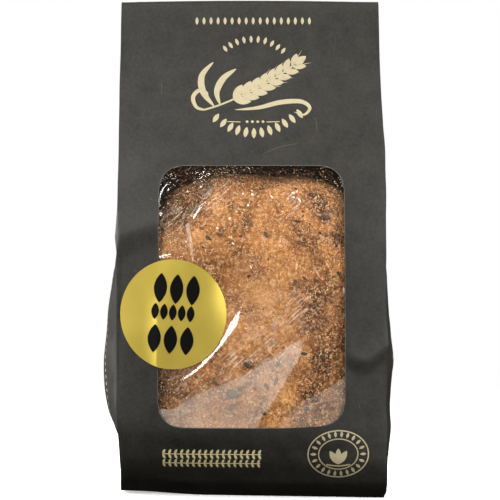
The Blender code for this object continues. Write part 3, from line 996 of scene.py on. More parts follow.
def crust_material():
    """Baked crust under semolina: brown in broad patches, with a pale, fibrous, gritty dusting."""
    material, tree, place = new_material("baked_crust_dusted_with_semolina")
    # patches about 6.5 mm across; semolina is 0.3 to 0.8 mm, drawn at 1.1 mm so that it shows
    patch, grit = (
        add_node(tree, "ShaderNodeTexNoise", inputs={
            "Vector": place, "Scale": 0.5 / size, "Detail": detail, "Roughness": harshness})
        for size, detail, harshness in ((0.0065, 4, 0.65), (0.0011, 3, 0.7)))
    # the bake and its painted shade: the placed patches, with a border that the noise breaks up
    placed = add_node(tree, "ShaderNodeAttribute", {"attribute_name": "bake_and_painted_shade"}).outputs["Fac"]
    bake_and_painted_shade = add_node(tree, "ShaderNodeMath", {"operation": "MULTIPLY_ADD"}, [placed, 0.22, patch])
    colour = add_node(tree, "ShaderNodeValToRGB", inputs=[bake_and_painted_shade])
    stops = colour.color_ramp.elements
    while len(stops) < len(CRUST_COLOURS):
        stops.new(0.5)
    for stop, (position, hex_colour) in zip(stops, CRUST_COLOURS):
        stop.position = position
        stop.color = linear(hex_colour)
    # pale semolina where the grit stands high, dark crust where it lies low
    for start, end, most, tint in ((0.50, 0.74, 0.8, "#efca98"), (0.46, 0.26, 0.7, "#4f2e1a")):
        share = add_node(tree, "ShaderNodeMapRange", inputs=[grit, start, end, 0.0, most])
        colour = add_node(tree, "ShaderNodeMix", {"data_type": "RGBA"},
                          {0: share, 6: colour, 7: linear(tint)}).outputs[2]
    height = add_node(tree, "ShaderNodeMath", {"operation": "MULTIPLY_ADD"}, [patch, 2.2, grit])
    bump = add_node(tree, "ShaderNodeBump", inputs={
        "Strength": 0.9, "Distance": 0.0008, "Height": height})
    shader = add_node(tree, "ShaderNodeBsdfPrincipled", inputs={
        "Base Color": colour, "Roughness": 0.85, "Specular IOR Level": 0.25, "Normal": bump})
    add_node(tree, "ShaderNodeOutputMaterial", inputs=[shader])
    return material


# %% Shape the crust
FLOOR = 0.0013
LOAF_WIDTH, LOAF_DEPTH, LOAF_HEIGHT = 0.156, 0.104, 0.2215
LOAF_X, LOAF_Y = 0.004, -0.007
LOAF_PLAN_POWER, LOAF_SIDE_POWER = 4.0, 3.8
LOAF_SEGMENTS, LOAF_RINGS = 330, 290
FRONT_SHARE = 0.76
CRUST_LUMPS = ((0.0020, 0.028), (0.0009, 0.011), (0.0006, 0.0045), (0.00035, 0.0020))
FILM_CLEARANCE = 0.0009
# how far the crust stays inside the gussets, the front and the back of the bag
GUSSET_CLEARANCE, FRONT_CLEARANCE, BACK_CLEARANCE = PAPER_THICKNESS + 0.0042, 0.0022, 0.0030
CRUST_INSET = 0.001


def loaf_radius(direction):
    """Distance from the loaf's middle to its crust."""
    plan = ((abs(direction.x) / (LOAF_WIDTH / 2)) ** LOAF_PLAN_POWER
            + (abs(direction.y) / (LOAF_DEPTH / 2)) ** LOAF_PLAN_POWER)
    side = plan ** (LOAF_SIDE_POWER / LOAF_PLAN_POWER)
    rise = (abs(direction.z) / (LOAF_HEIGHT / 2)) ** LOAF_SIDE_POWER
    return (side + rise) ** (-1 / LOAF_SIDE_POWER)


def hold_in_bag(point):
    """Presses a point of the crust back where the film, the paper or the floor holds it."""
    z = max(point.z, FLOOR)
    skew, shift = skew_and_shift(z)
    side = 1 if point.x > 0 else -1
    edge = half_width(z) + gusset_reach(side, 0.5, z) - GUSSET_CLEARANCE
    x = min(max(point.x - shift, -edge), edge)
    y = max(point.y + skew * x, front_depth(x, z) + FRONT_CLEARANCE)
    y = min(y, back_depth(x, z) - BACK_CLEARANCE)
    held = Vector((x + shift, y - skew * x, z))
    hit = straight_in(film_tree, held.x, held.z)[0]
    if hit is not None:
        held.y = max(held.y, hit.y + FILM_CLEARANCE)
    return held


def crust_directions():
    """Directions from the loaf's middle, closest together on the side that faces the window."""
    front = round(LOAF_SEGMENTS * FRONT_SHARE)
    back = LOAF_SEGMENTS - front
    turns = [math.pi + math.pi * i / front for i in range(front)]
    turns += [math.pi * i / back for i in range(back)]
    rows = []
    for k in range(1, LOAF_RINGS):
        tilt = math.pi * k / LOAF_RINGS - math.pi / 2
        rows.append([Vector((math.cos(tilt) * math.cos(t), math.cos(tilt) * math.sin(t),
                             math.sin(tilt))) for t in turns])
    return rows


def make_crust():
    """The crust, with its bake and painted shade and how much of it shows as attributes."""
    middle = Vector((LOAF_X, LOAF_Y, FLOOR + LOAF_HEIGHT / 2))
    mesh = bmesh.new()

    def crust_point(direction):
        place = direction * loaf_radius(direction)
        lump = waves(place, *CRUST_LUMPS)
        return mesh.verts.new(hold_in_bag(middle + place + direction * (lump - CRUST_INSET)))

    rings = [[crust_point(direction) for direction in row] for row in crust_directions()]
    join_rows(mesh, rings, closed=True)
    for ring, up in ((rings[0], -1), (rings[-1], 1)):
        pole = crust_point(Vector((0, 0, up)))
        for i in range(LOAF_SEGMENTS):
            mesh.faces.new((ring[i], ring[(i + 1) % LOAF_SEGMENTS], pole))
    bmesh.ops.recalc_face_normals(mesh, faces=mesh.faces)
    shown = mesh.verts.layers.float.new("shown")
    bake_and_painted_shade = mesh.verts.layers.float.new("bake_and_painted_shade")
    mesh.normal_update()
    for vert in mesh.verts:
        vert[bake_and_painted_shade] = paleness_with_painted_shade(vert.co.x, vert.co.z)
        near_window = smooth_step(0.5 - window_distance(vert.co.x, vert.co.z) / 0.012)
        vert[shown] = near_window * smooth_step((-vert.normal.y - 0.05) / 0.4)
    return hand_over(link_piece("loaf_crust", mesh, crust_material()), "loaf")


loaf_crust = make_crust()

# %% [markdown]
# ## Seeds, bran and semolina on the crust
#
# The baker rolls such a loaf in bran and semolina before it is baked. Thousands of alike grains
# are a job for Geometry Nodes: one tree spreads points over the crust, sets a grain on each,
# turns it at random and keeps it flat on the surface. Its inputs are real sizes, so the same tree
# sows the bran, the semolina and the seeds. Each grain has only a few faces, and together they
# catch the light.

# %% A tree that sows grains on a surface
def add_socket(tree, name, kind, default=None):
    """A named input of a Geometry Nodes tree."""
    socket = tree.interface.new_socket(name, in_out="INPUT", socket_type="NodeSocket" + kind)
    if default is not None:
        socket.default_value = default
    return socket


def start_tree(name):
    """A Geometry Nodes tree with its geometry sockets and its group input."""
    tree = bpy.data.node_groups.new(name, "GeometryNodeTree")
    add_socket(tree, "Geometry", "Geometry")
    tree.interface.new_socket("Geometry", in_out="OUTPUT", socket_type="NodeSocketGeometry")
    return tree


def end_tree(tree, instances, material):
    """Makes the instances real, gives them their material and ends the tree."""
    real = add_node(tree, "GeometryNodeRealizeInstances", inputs=[instances])
    finished = add_node(tree, "GeometryNodeSetMaterial", inputs={
        "Geometry": real, "Material": material})
    add_node(tree, "NodeGroupOutput", inputs=[finished])


def run_tree(tree, base_mesh, **values):
    """Runs the tree on a mesh and returns the plain mesh that it makes."""
    base = bpy.data.objects.new("base", base_mesh)
    bpy.context.scene.collection.objects.link(base)
    modifier = base.modifiers.new("tree", "NODES")
    modifier.node_group = tree
    for item in tree.interface.items_tree:
        if item.in_out == "INPUT" and item.name in values:
            modifier[item.identifier] = values[item.name]
    graph = bpy.context.evaluated_depsgraph_get()
    made = bpy.data.meshes.new_from_object(base.evaluated_get(graph), depsgraph=graph)
    bpy.data.objects.remove(base)
    return made


def sowing_tree(name, material):
    """Points on the faces, weighted by "shown", each with a grain that lies flat on the crust."""
    tree = start_tree(name)
    add_socket(tree, "Grain", "Object")
    add_socket(tree, "Grains per square metre", "Float", 1000.0)
    add_socket(tree, "Smallest", "Float", 0.5)
    add_socket(tree, "Largest", "Float", 1.0)
    add_socket(tree, "Tip", "Float", 0.3)
    add_socket(tree, "Seed", "Int", 1)
    given = add_node(tree, "NodeGroupInput").outputs
    shown = add_node(tree, "GeometryNodeInputNamedAttribute", {"data_type": "FLOAT"},
                     {"Name": "shown"})
    density = add_node(tree, "ShaderNodeMath", {"operation": "MULTIPLY"},
                       [shown.outputs["Attribute"], given["Grains per square metre"]])
    points = add_node(tree, "GeometryNodeDistributePointsOnFaces", inputs={
        "Mesh": given["Geometry"], "Density": density, "Seed": given["Seed"]})
    tip = given["Tip"]
    tip_down = add_node(tree, "ShaderNodeMath", {"operation": "MULTIPLY"}, [tip, -1.0])
    low = add_node(tree, "ShaderNodeCombineXYZ", inputs=[tip_down, tip_down, 0.0])
    high = add_node(tree, "ShaderNodeCombineXYZ", inputs=[tip, tip, math.tau])
    turn = add_node(tree, "FunctionNodeRandomValue", {"data_type": "FLOAT_VECTOR"}, {
        "Min": low, "Max": high, "Seed": given["Seed"]})
    as_turn = add_node(tree, "FunctionNodeEulerToRotation", inputs=[turn.outputs["Value"]])
    turned = add_node(tree, "FunctionNodeRotateRotation", {"rotation_space": "LOCAL"}, {
        "Rotation": points.outputs["Rotation"], "Rotate By": as_turn})
    size = add_node(tree, "FunctionNodeRandomValue", {"data_type": "FLOAT"})
    for socket, name in ((2, "Smallest"), (3, "Largest"), (8, "Seed")):
        tree.links.new(given[name], size.inputs[socket])
    grain = add_node(tree, "GeometryNodeObjectInfo", inputs={"Object": given["Grain"]})
    grains = add_node(tree, "GeometryNodeInstanceOnPoints", inputs={
        "Points": points.outputs["Points"], "Instance": grain.outputs["Geometry"],
        "Rotation": turned, "Scale": size.outputs[1]})
    end_tree(tree, grains.outputs["Instances"], material)
    return tree


def grain_material(name, light, dark, roughness=0.8, size=0.004):
    """A dry grain, a little different in colour from its neighbours."""
    material, tree, place = new_material(name)
    cloud = add_node(tree, "ShaderNodeTexNoise", inputs={"Vector": place, "Scale": 0.5 / size})
    tone = add_node(tree, "ShaderNodeMapRange", inputs=[cloud, 0.35, 0.65])
    colour = add_node(tree, "ShaderNodeMix", {"data_type": "RGBA"},
                      {0: tone, 6: linear(dark), 7: linear(light)})
    shader = add_node(tree, "ShaderNodeBsdfPrincipled", inputs={
        "Base Color": colour.outputs[2], "Roughness": roughness})
    add_node(tree, "ShaderNodeOutputMaterial", inputs=[shader])
    return material


def grain_shape(name, length, width, height, detail=1, seed=0):
    """One grain: a squashed, slightly uneven ball with a few dozen faces, 1 unit being 1 m."""
    mesh = bmesh.new()
    bmesh.ops.create_icosphere(mesh, subdivisions=detail, radius=0.5)
    dice = random.Random(seed)
    for vert in mesh.verts:
        vert.co *= 1 + dice.uniform(-0.12, 0.12)
        vert.co = Vector((vert.co.x * length, vert.co.y * width, vert.co.z * height))
    grain = link_piece(name, mesh)
    bpy.context.scene.collection.objects.unlink(grain)
    return grain


# %% Sow the crust
# each: name, material, grain (length, width, height in metres), number on a square metre,
# smallest and largest share of that size, tip out of the surface in radians, faces' detail, seed
bran = grain_material("toasted_wheat_bran", "#e2ac72", "#ac7342")
dark_bran = grain_material("scorched_wheat_bran", "#74482a", "#44281a")
semolina = grain_material("coarse_semolina", "#f8dfb8", "#d8a66e")
poppy = grain_material("nigella_seed", "#4a3a2c", "#2c2119", roughness=0.7)
chaff = grain_material("pale_wheat_chaff", "#fbdaa6", "#e4b478")
SOWING = (
    ("bran_flakes", bran, (0.0021, 0.0006, 0.0003), 300000, 0.4, 1.0, 0.5, 1, 11),
    ("scorched_flakes", dark_bran, (0.0019, 0.0006, 0.0003), 110000, 0.4, 1.0, 0.4, 1, 12),
    ("semolina_grains", semolina, (0.0007, 0.0006, 0.0005), 90000, 0.45, 1.0, 0.4, 1, 13),
    ("pale_chaff", chaff, (0.0027, 0.0007, 0.0003), 42000, 0.5, 1.0, 0.5, 1, 15),
    ("nigella_seeds", poppy, (0.0022, 0.0013, 0.0010), 1300, 0.4, 1.0, 0.2, 2, 14),
)


def sow(name, material, grain, density, smallest, largest, tip, detail, seed, base=None):
    """Sows one kind of grain on the crust, or on another mesh that carries "shown"."""
    shape = grain_shape(name + "_shape", *grain, detail=detail, seed=seed)
    tree = sowing_tree("sow_" + name, material)
    made = run_tree(tree, base or loaf_crust.data, Grain=shape, Smallest=smallest, Largest=largest,
                    Tip=tip, Seed=seed, **{"Grains per square metre": float(density)})
    piece = bpy.data.objects.new(name, made)
    bpy.context.scene.collection.objects.link(piece)
    return hand_over(piece, "loaf")


for row in SOWING:
    sow(*row)

# %% [markdown]
# ## Crumbs on the film
#
# Where the loaf's corners leave room behind the film, crumbs have gathered and cling to it. They
# are sown by the same tree, on a sheet just behind the film that faces into the bag.

# %% Sow the crumbs that cling to the film
CRUMB_STEP, CRUMB_GAP = 0.003, 0.0005


def near_edges(x, z):
    """How near a place is to the low left, the right and the lower right of the window."""
    low_left = smooth_step((-x - 0.052) / 0.006) * smooth_step((0.095 - z) / 0.02)
    low_right = smooth_step((x - 0.025) / 0.02) * smooth_step((0.062 - z) / 0.006)
    return 0.8 * low_left + 0.3 * smooth_step((x - 0.055) / 0.006) + 0.6 * low_right


def brown_share(x, z):
    """How thickly brown crumbs cling: most in the top corners and under the window's top edge."""
    corner = smooth_step((z - 0.6 * x - 0.200) / 0.036)
    right_corner = smooth_step((x + z - 0.254) / 0.012)
    return corner + right_corner + 0.9 * smooth_step((z - 0.211) / 0.006) + near_edges(x, z)


def pale_share(x, z):
    """How thickly pale crumbs cling: in a band across the top left corner, and at the right."""
    band = math.exp(-((z - x - 0.2400) / 0.0095) ** 2) * smooth_step((z - 0.168) / 0.010)
    top_right = math.exp(-((x - 0.057) / 0.009) ** 2 - ((z - 0.206) / 0.009) ** 2)
    return 1.3 * band + 0.9 * top_right + 0.10 * brown_share(x, z) + 0.6 * near_edges(x, z)


def make_crumb_sheet(share):
    """The sheet that the crumbs are sown on, a little behind the film and facing away from it."""
    mesh = bmesh.new()
    shown = mesh.verts.layers.float.new("shown")
    columns = round(WINDOW_WIDTH / CRUMB_STEP)
    rows = round((WINDOW_TOP - WINDOW_BOTTOM) / CRUMB_STEP)
    grid = []
    for i in range(rows + 1):
        z = WINDOW_BOTTOM + (WINDOW_TOP - WINDOW_BOTTOM) * i / rows
        line = []
        for j in range(columns + 1):
            x = WINDOW_WIDTH * (j / columns - 0.5)
            vert = mesh.verts.new(straight_in(film_tree, x, z)[0] + BACK * CRUMB_GAP)
            inside = smooth_step(0.5 - window_distance(x, z) / 0.004)
            vert[shown] = inside * min(1.0, share(x, z))
            line.append(vert)
        grid.append(line)
    for lower, upper in zip(grid, grid[1:]):
        for j in range(columns):
            mesh.faces.new((lower[j], upper[j], upper[j + 1], lower[j + 1]))
    data = bpy.data.meshes.new("crumb_sheet")
    mesh.to_mesh(data)
    mesh.free()
    return data


crumbs = grain_material("loose_crust_crumbs", "#75502e", "#2d1b0d", size=0.0016)
sow("brown_crumbs", crumbs, (0.0015, 0.0011, 0.0009), 420000, 0.35, 1.0, 0.4, 1, 21,
    base=make_crumb_sheet(brown_share))
sow("pale_crumbs", semolina, (0.0011, 0.0008, 0.0006), 330000, 0.4, 1.0, 0.4, 1, 22,
    base=make_crumb_sheet(pale_share))

# %% [markdown]
# ## Larger seeds and onion flakes
#
# The topping that the eye picks out one by one is listed: pale sesame and chaff, dark rye and
# linseed, flakes of dried onion, and white lumps: rice flour, and a few painted glints. Each is a
# flattened, uneven ball that is pressed a little into the crust, turned to lie along it.

# %% Set the larger seeds one by one
MM = 0.001
# each: x, z, length, width, thickness in mm, degrees from upright, and which finish
LARGE_SEEDS = (
    # the upper half
    (-14.4, 177.6, 3.4, 2.0, 1.2, 80, 0), (9.7, 180.0, 4.4, 2.6, 1.2, 25, 2),
    (-28.9, 177.6, 5.0, 2.4, 0.8, 55, 2), (-3.2, 202.9, 4.2, 1.8, 0.8, 50, 2),
    (-0.2, 202.0, 1.5, 1.2, 0.8, 0, 1), (-44.4, 186.8, 3.0, 1.9, 1.0, 0, 1),
    (-40.7, 196.6, 3.2, 2.0, 0.9, 60, 2), (-38.4, 200.0, 5.0, 1.5, 0.8, -20, 2),
    (-32.3, 171.4, 2.0, 1.5, 0.9, 30, 1), (-34.9, 188.5, 1.5, 1.2, 0.8, 0, 1),
    (-33.0, 184.2, 2.4, 1.9, 0.9, -40, 2), (-21.2, 179.9, 3.6, 2.4, 0.6, 50, 2),
    (-11.0, 182.9, 2.0, 1.4, 0.8, 20, 2), (-6.7, 178.6, 1.4, 1.2, 0.8, 0, 1),
    (-9.0, 215.7, 2.0, 1.4, 0.8, 60, 1), (-1.2, 187.3, 4.4, 3.4, 0.5, 30, 2),
    (30.1, 211.0, 2.6, 1.8, 0.9, 40, 1), (31.0, 188.9, 5.0, 1.5, 0.8, 80, 1),
    (49.9, 190.6, 3.0, 2.2, 0.9, 60, 1), (50.4, 192.6, 6.4, 4.0, 0.6, 60, 2),
    (48.9, 201.0, 5.0, 2.4, 0.7, 55, 2), (57.8, 178.0, 3.6, 2.2, 0.7, 20, 2),
    (57.4, 172.6, 2.2, 1.8, 1.0, 0, 1), (46.2, 181.1, 2.6, 1.2, 0.8, 50, 1),
    (50.3, 178.9, 2.0, 1.5, 0.8, 0, 2), (33.7, 173.2, 1.9, 1.4, 0.8, 30, 2),
    (34.4, 195.6, 1.7, 1.3, 0.8, 60, 1), (39.1, 187.1, 1.8, 1.2, 0.8, 0, 1),
    (18.0, 195.4, 1.5, 1.2, 0.8, 0, 1), (11.3, 163.4, 1.7, 1.3, 0.8, 20, 1),
    # the lower half
    (58.7, 153.7, 3.1, 2.6, 1.5, 10, 1), (55.4, 151.8, 3.2, 1.8, 0.7, -60, 2),
    (35.6, 150.5, 4.2, 1.1, 0.8, 50, 1), (29.5, 148.3, 3.6, 2.6, 0.6, 20, 2),
    (-1.7, 152.1, 3.0, 1.7, 0.9, -70, 1), (0.7, 160.8, 2.2, 1.2, 0.8, -30, 2),
    (0.1, 129.1, 1.5, 1.3, 0.8, 0, 1), (7.9, 129.9, 1.5, 1.3, 0.8, 0, 1),
    (21.7, 104.1, 1.6, 1.2, 0.8, 0, 1), (-2.5, 92.5, 5.4, 3.6, 0.7, 60, 1),
    (17.6, 93.1, 3.6, 2.6, 0.9, 30, 1), (35.1, 100.0, 4.4, 2.6, 0.9, 80, 1),
    (47.5, 97.7, 4.2, 3.4, 0.6, 30, 1), (51.8, 99.0, 2.2, 1.5, 0.9, 0, 1),
    (10.2, 78.2, 5.6, 2.8, 0.7, 35, 1), (16.4, 81.7, 6.4, 2.2, 0.7, -15, 1),
    (-12.6, 73.2, 9.0, 6.6, 0.9, 70, 1), (-7.4, 76.2, 5.0, 3.6, 0.6, 40, 1),
    (2.7, 76.9, 2.6, 2.0, 0.6, 0, 1), (-13.0, 64.6, 4.6, 3.6, 0.6, 20, 2),
    (-5.0, 77.5, 3.0, 2.0, 0.6, 80, 2), (-16.0, 70.6, 3.0, 2.4, 0.6, 10, 2),
    (6.5, 66.5, 1.7, 1.4, 0.8, 0, 1), (-47.8, 60.6, 2.6, 2.0, 0.8, 0, 1),
    (-56.4, 83.3, 3.6, 2.0, 1.0, 70, 1), (-37.0, 84.7, 2.4, 1.8, 0.8, 30, 2),
    (8.4, 60.0, 4.0, 2.4, 0.7, 60, 1), (37.0, 61.9, 6.0, 4.4, 0.6, 20, 2),
    (43.0, 57.5, 4.0, 2.6, 0.6, 70, 2), (-30.0, 66.0, 2.2, 1.6, 0.8, 40, 2),
    # chaff, sesame and white lumps of rice flour, some of them painted glints, which stand out pale
    (30.0, 158.2, 5.2, 1.6, 0.6, -10, 0), (50.8, 159.8, 5.0, 1.1, 0.6, 25, 0),
    (13.6, 205.4, 3.6, 0.9, 0.5, 35, 3), (32.3, 203.2, 3.4, 1.1, 0.6, 30, 3),
    (0.6, 207.0, 2.8, 1.8, 1.0, 10, 3), (0.2, 209.6, 1.9, 1.0, 0.6, 80, 3),
    (-5.8, 207.4, 1.8, 1.5, 1.0, 0, 3), (28.1, 207.9, 2.2, 1.5, 0.9, 70, 3),
    (28.4, 205.0, 2.2, 1.0, 0.8, 65, 3), (30.6, 208.8, 1.4, 1.0, 0.8, 0, 3),
    (24.6, 204.0, 1.5, 1.1, 0.8, 0, 3), (-2.3, 199.6, 1.9, 1.5, 0.9, 0, 3),
    (-14.9, 190.7, 1.8, 1.5, 1.0, 0, 3), (-23.0, 184.0, 1.9, 1.1, 0.8, 70, 3),
    (-12.4, 173.8, 2.2, 1.3, 0.8, 55, 3), (-10.6, 219.5, 1.9, 1.4, 0.9, 0, 3),
    (59.6, 206.6, 1.6, 1.4, 0.9, 0, 3), (54.7, 207.2, 1.9, 1.5, 0.9, 0, 0),
    (0.1, 167.2, 1.5, 1.1, 0.8, 0, 0), (-0.7, 162.3, 2.4, 1.1, 0.7, 60, 0),
    (-0.4, 158.1, 2.5, 1.1, 0.7, 30, 3), (21.2, 120.9, 1.4, 1.1, 0.8, 0, 3),
    (45.7, 111.6, 2.0, 1.3, 0.8, 40, 0), (-41.7, 61.2, 1.6, 1.3, 0.8, 0, 3),
    (-31.8, 57.9, 1.6, 1.3, 0.8, 0, 3), (-44.0, 175.0, 1.6, 1.2, 0.8, 0, 3),
)
sesame = grain_material("hulled_sesame", "#e3c08c", "#cda06a", size=0.002)
dark_seed = grain_material("dark_rye_and_linseed", "#4b3a2c", "#2a1e15", roughness=0.7, size=0.001)
onion = grain_material("dried_onion_flake", "#75624b", "#4a3a2a", size=0.0010)
# white lumps: rice flour, and a few painted glints on the crust
flour_lump_and_painted_glint = grain_material("rice_flour_lump_and_painted_glint", "#fff4e2", "#efdcc0", size=0.001)


def make_large_seeds():
    """Sets each seed on the crust where the table says, as one piece with four finishes."""
    crust_mesh = bmesh.new()
    crust_mesh.from_mesh(loaf_crust.data)
    crust_tree = BVHTree.FromBMesh(crust_mesh)
    crust_mesh.free()
    mesh = bmesh.new()
    for i, (x, z, length, width, thickness, turn, finish) in enumerate(LARGE_SEEDS):
        hit, normal = straight_in(crust_tree, x * MM, z * MM)
        if hit is None:
            continue
        ball = bmesh.ops.create_icosphere(mesh, subdivisions=2, radius=0.0005)
        stand = normal.to_track_quat("Y", "Z").to_matrix()
        lean = Matrix.Rotation(math.radians(turn), 3, "Y")
        for vert in ball["verts"]:
            uneven = 1 + 0.22 * noise.noise(vert.co * 2500 + Vector((i * 7.1, 0, 0)))
            flat = Vector((vert.co.x * width, vert.co.y * thickness, vert.co.z * length)) * uneven
            vert.co = hit + normal * 0.0002 + stand @ (lean @ flat)
        for face in {face for vert in ball["verts"] for face in vert.link_faces}:
            face.material_index = finish
    return hand_over(link_piece("large_seeds", mesh, sesame, dark_seed, onion, flour_lump_and_painted_glint),
                     "loaf")


make_large_seeds()

# %% [markdown]
# ## The round foil label
#
# The label is die-cut from metallised paper and stuck half on the bag and half on the film. It is
# a disc of rings and spokes, laid on the paper's face: it rises in a ridge to the window's edge,
# where the paper ends, dips onto the film behind it, and rolls back into the bag with the film at
# its free right edge. Those bends are what makes gold foil shift from pale to olive.

# %% Form and finish of the label
LABEL_RINGS, LABEL_SPOKES = 42, 200
LABEL_THICKNESS = 0.00014
LABEL_RIDGE, RIDGE_REACH = 0.0014, 0.0115
LABEL_LIFT = 0.00030


def label_lift(x, z):
    """How far the label stands off the paper's smooth face."""
    past_edge = x + WINDOW_WIDTH / 2
    ridge_height = LABEL_RIDGE * smooth_step((0.150 - z) / 0.022)
    on_paper = LABEL_LIFT + ridge_height * min(1.0, max(0.0, 1 + past_edge / RIDGE_REACH)) ** 2
    if past_edge < 0:
        return on_paper
    return on_paper * (1 - smooth_step(past_edge / 0.014)) - label_roll(x, z)


def foil_material():
    """Gold metallised paper, calendered: a metal with a soft, faintly grained shine."""
    material, tree, place = new_material("gold_metallised_label_paper")
    # the grain of the paper under the metal, 0.9 mm, and broad clouds in the metal, 12 mm
    grain, cloud = (
        add_node(tree, "ShaderNodeTexNoise", inputs={
            "Vector": place, "Scale": 0.5 / size, "Detail": detail})
        for size, detail in ((0.0009, 3), (0.012, 2)))
    tone = add_node(tree, "ShaderNodeMapRange", inputs=[cloud, 0.3, 0.7])
    colour = add_node(tree, "ShaderNodeMix", {"data_type": "RGBA"},
                      {0: tone, 6: linear("#d6bd51"), 7: linear("#e0c558")})
    bump = add_node(tree, "ShaderNodeBump", inputs={
        "Strength": 0.15, "Distance": 0.0001, "Height": grain})
    shader = add_node(tree, "ShaderNodeBsdfPrincipled", inputs={
        "Base Color": colour.outputs[2], "Metallic": 0.7, "Normal": bump,
        "Roughness": add_node(tree, "ShaderNodeMapRange", inputs=[grain, 0.3, 0.7, 0.28, 0.34])})
    add_node(tree, "ShaderNodeOutputMaterial", inputs=[shader])
    return material


def make_label():
    """The label, and a tree to lay its print on."""
    mesh = bmesh.new()

    def label_point(radius, angle):
        x = LABEL_X + LABEL_SPAN * radius * math.cos(angle)
        z = LABEL_Z + radius * math.sin(angle)
        return mesh.verts.new(on_face(x, z, label_lift(x, z)))

    middle = label_point(0, 0)
    rings = []
    for k in range(1, LABEL_RINGS + 1):
        radius = LABEL_DIAMETER / 2 * k / LABEL_RINGS
        rings.append([label_point(radius, -math.tau * i / LABEL_SPOKES)
                      for i in range(LABEL_SPOKES)])
    for i in range(LABEL_SPOKES):
        mesh.faces.new((middle, rings[0][(i + 1) % LABEL_SPOKES], rings[0][i]))
    join_rows(mesh, rings, closed=True)
    face_towards(mesh, FRONT)
    tree = BVHTree.FromBMesh(mesh)
    label = give_thickness(link_piece("foil_label", mesh, foil_material()), LABEL_THICKNESS)
    label.data.set_sharp_from_angle(angle=math.radians(60))
    hand_over(label, "label")
    return tree


label_tree = make_label()

# %% [markdown]
# ## Printing marks
#
# Ink has no thickness to speak of, but a printed mark made as a film of its own, a twentieth of a
# millimetre thick, keeps its sharp edge at any distance. Every mark is a ribbon: a line with a
# width that may swell and taper, as a brush stroke does. The ribbons are drawn flat, facing the
# window, and then each of their points is laid on the surface that carries them. Marks that
# repeat along a line are set by a second Geometry Nodes tree.

# %% Ribbons, marks along a line, and laying them down
RIBBON_STEP = 0.0011
INK_THICKNESS = 0.00005
INK_LIFT = 0.00009


def through(*points, step=RIBBON_STEP, closed=False):
    """Points at even steps on a smooth line through the given ones (a Catmull-Rom line)."""
    count = len(points)
    line = []
    for i in range(count if closed else count - 1):
        if closed:
            a, b, c, d = (Vector(points[(i + k) % count]) for k in (-1, 0, 1, 2))
        else:
            a, b, c, d = (Vector(points[min(max(i + k, 0), count - 1)]) for k in (-1, 0, 1, 2))
        steps = max(2, math.ceil((c - b).length / step))
        for k in range(steps):
            t = k / steps
            line.append(0.5 * (2 * b + (c - a) * t + (2 * a - 5 * b + 4 * c - d) * t**2
                               + (3 * b - 3 * c + d - a) * t**3))
    return line if closed else line + [Vector(points[-1])]


def ribbon(mesh, line, width, closed=False):
    """A strip of faces along a line in the plane of X and Z. The width is a number, or a function
    of the share of the way along the line."""
    count = len(line)
    widths = [width(i / (count - 1)) if callable(width) else width for i in range(count)]
    columns = 2 * max(1, math.ceil(max(widths) / 2 / RIBBON_STEP))
    rows = []
    for i, place in enumerate(line):
        ahead = line[(i + 1) % count] if closed else line[min(i + 1, count - 1)]
        behind = line[i - 1] if closed or i else line[0]
        along = (ahead - behind).normalized()
        steps = [widths[i] * (k / columns - 0.5) for k in range(columns + 1)]
        rows.append([mesh.verts.new((place.x - along.y * s, 0, place.y + along.x * s))
                     for s in steps])
    join_rows(mesh, rows + rows[:1] if closed else rows)


def swell(width, power=0.8):
    """A width that swells from nothing and tapers away again."""
    return lambda share: width * math.sin(math.pi * min(max(share, 0.0), 1.0)) ** power


def kernel_mark(name, length, width):
    """A pointed grain of wheat, drawn from its foot at the origin along +X."""
    mesh = bmesh.new()
    steps = max(6, round(length / RIBBON_STEP))
    line = [Vector((length * i / steps, 0)) for i in range(steps + 1)]
    ribbon(mesh, line, swell(width))
    bmesh.ops.remove_doubles(mesh, verts=mesh.verts, dist=1e-6)
    mark = link_piece(name, mesh)
    bpy.context.scene.collection.objects.unlink(mark)
    return mark


def marks_tree():
    """Even steps along a line, with a mark on each that is turned with the line and then tilted."""
    tree = start_tree("marks_along_a_line")
    add_socket(tree, "Mark", "Object")
    add_socket(tree, "Count", "Int", 10)
    add_socket(tree, "Tilt", "Float", 0.0)
    add_socket(tree, "First size", "Float", 1.0)
    add_socket(tree, "Last size", "Float", 1.0)
    add_socket(tree, "Ink", "Material")
    given = add_node(tree, "NodeGroupInput").outputs
    line = add_node(tree, "GeometryNodeMeshToCurve", inputs=[given["Geometry"]])
    points = add_node(tree, "GeometryNodeCurveToPoints", {"mode": "COUNT"}, {
        "Curve": line, "Count": given["Count"]})
    along = add_node(tree, "FunctionNodeAlignRotationToVector", {"axis": "X", "pivot_axis": "Y"},
                     {"Vector": points.outputs["Tangent"]})
    tilt = add_node(tree, "ShaderNodeCombineXYZ", inputs={"Y": given["Tilt"]})
    as_turn = add_node(tree, "FunctionNodeEulerToRotation", inputs=[tilt])
    turned = add_node(tree, "FunctionNodeRotateRotation", {"rotation_space": "LOCAL"}, {
        "Rotation": along, "Rotate By": as_turn})
    number = add_node(tree, "GeometryNodeInputIndex")
    last = add_node(tree, "ShaderNodeMath", {"operation": "SUBTRACT"}, [given["Count"], 1.0])
    size = add_node(tree, "ShaderNodeMapRange", inputs=[
        number, 0.0, last, given["First size"], given["Last size"]])
    mark = add_node(tree, "GeometryNodeObjectInfo", inputs={"Object": given["Mark"]})
    marks = add_node(tree, "GeometryNodeInstanceOnPoints", inputs={
        "Points": points.outputs["Points"], "Instance": mark.outputs["Geometry"],
        "Rotation": turned, "Scale": size})
    end_tree(tree, marks.outputs["Instances"], given["Ink"])
    return tree


MARKS = marks_tree()


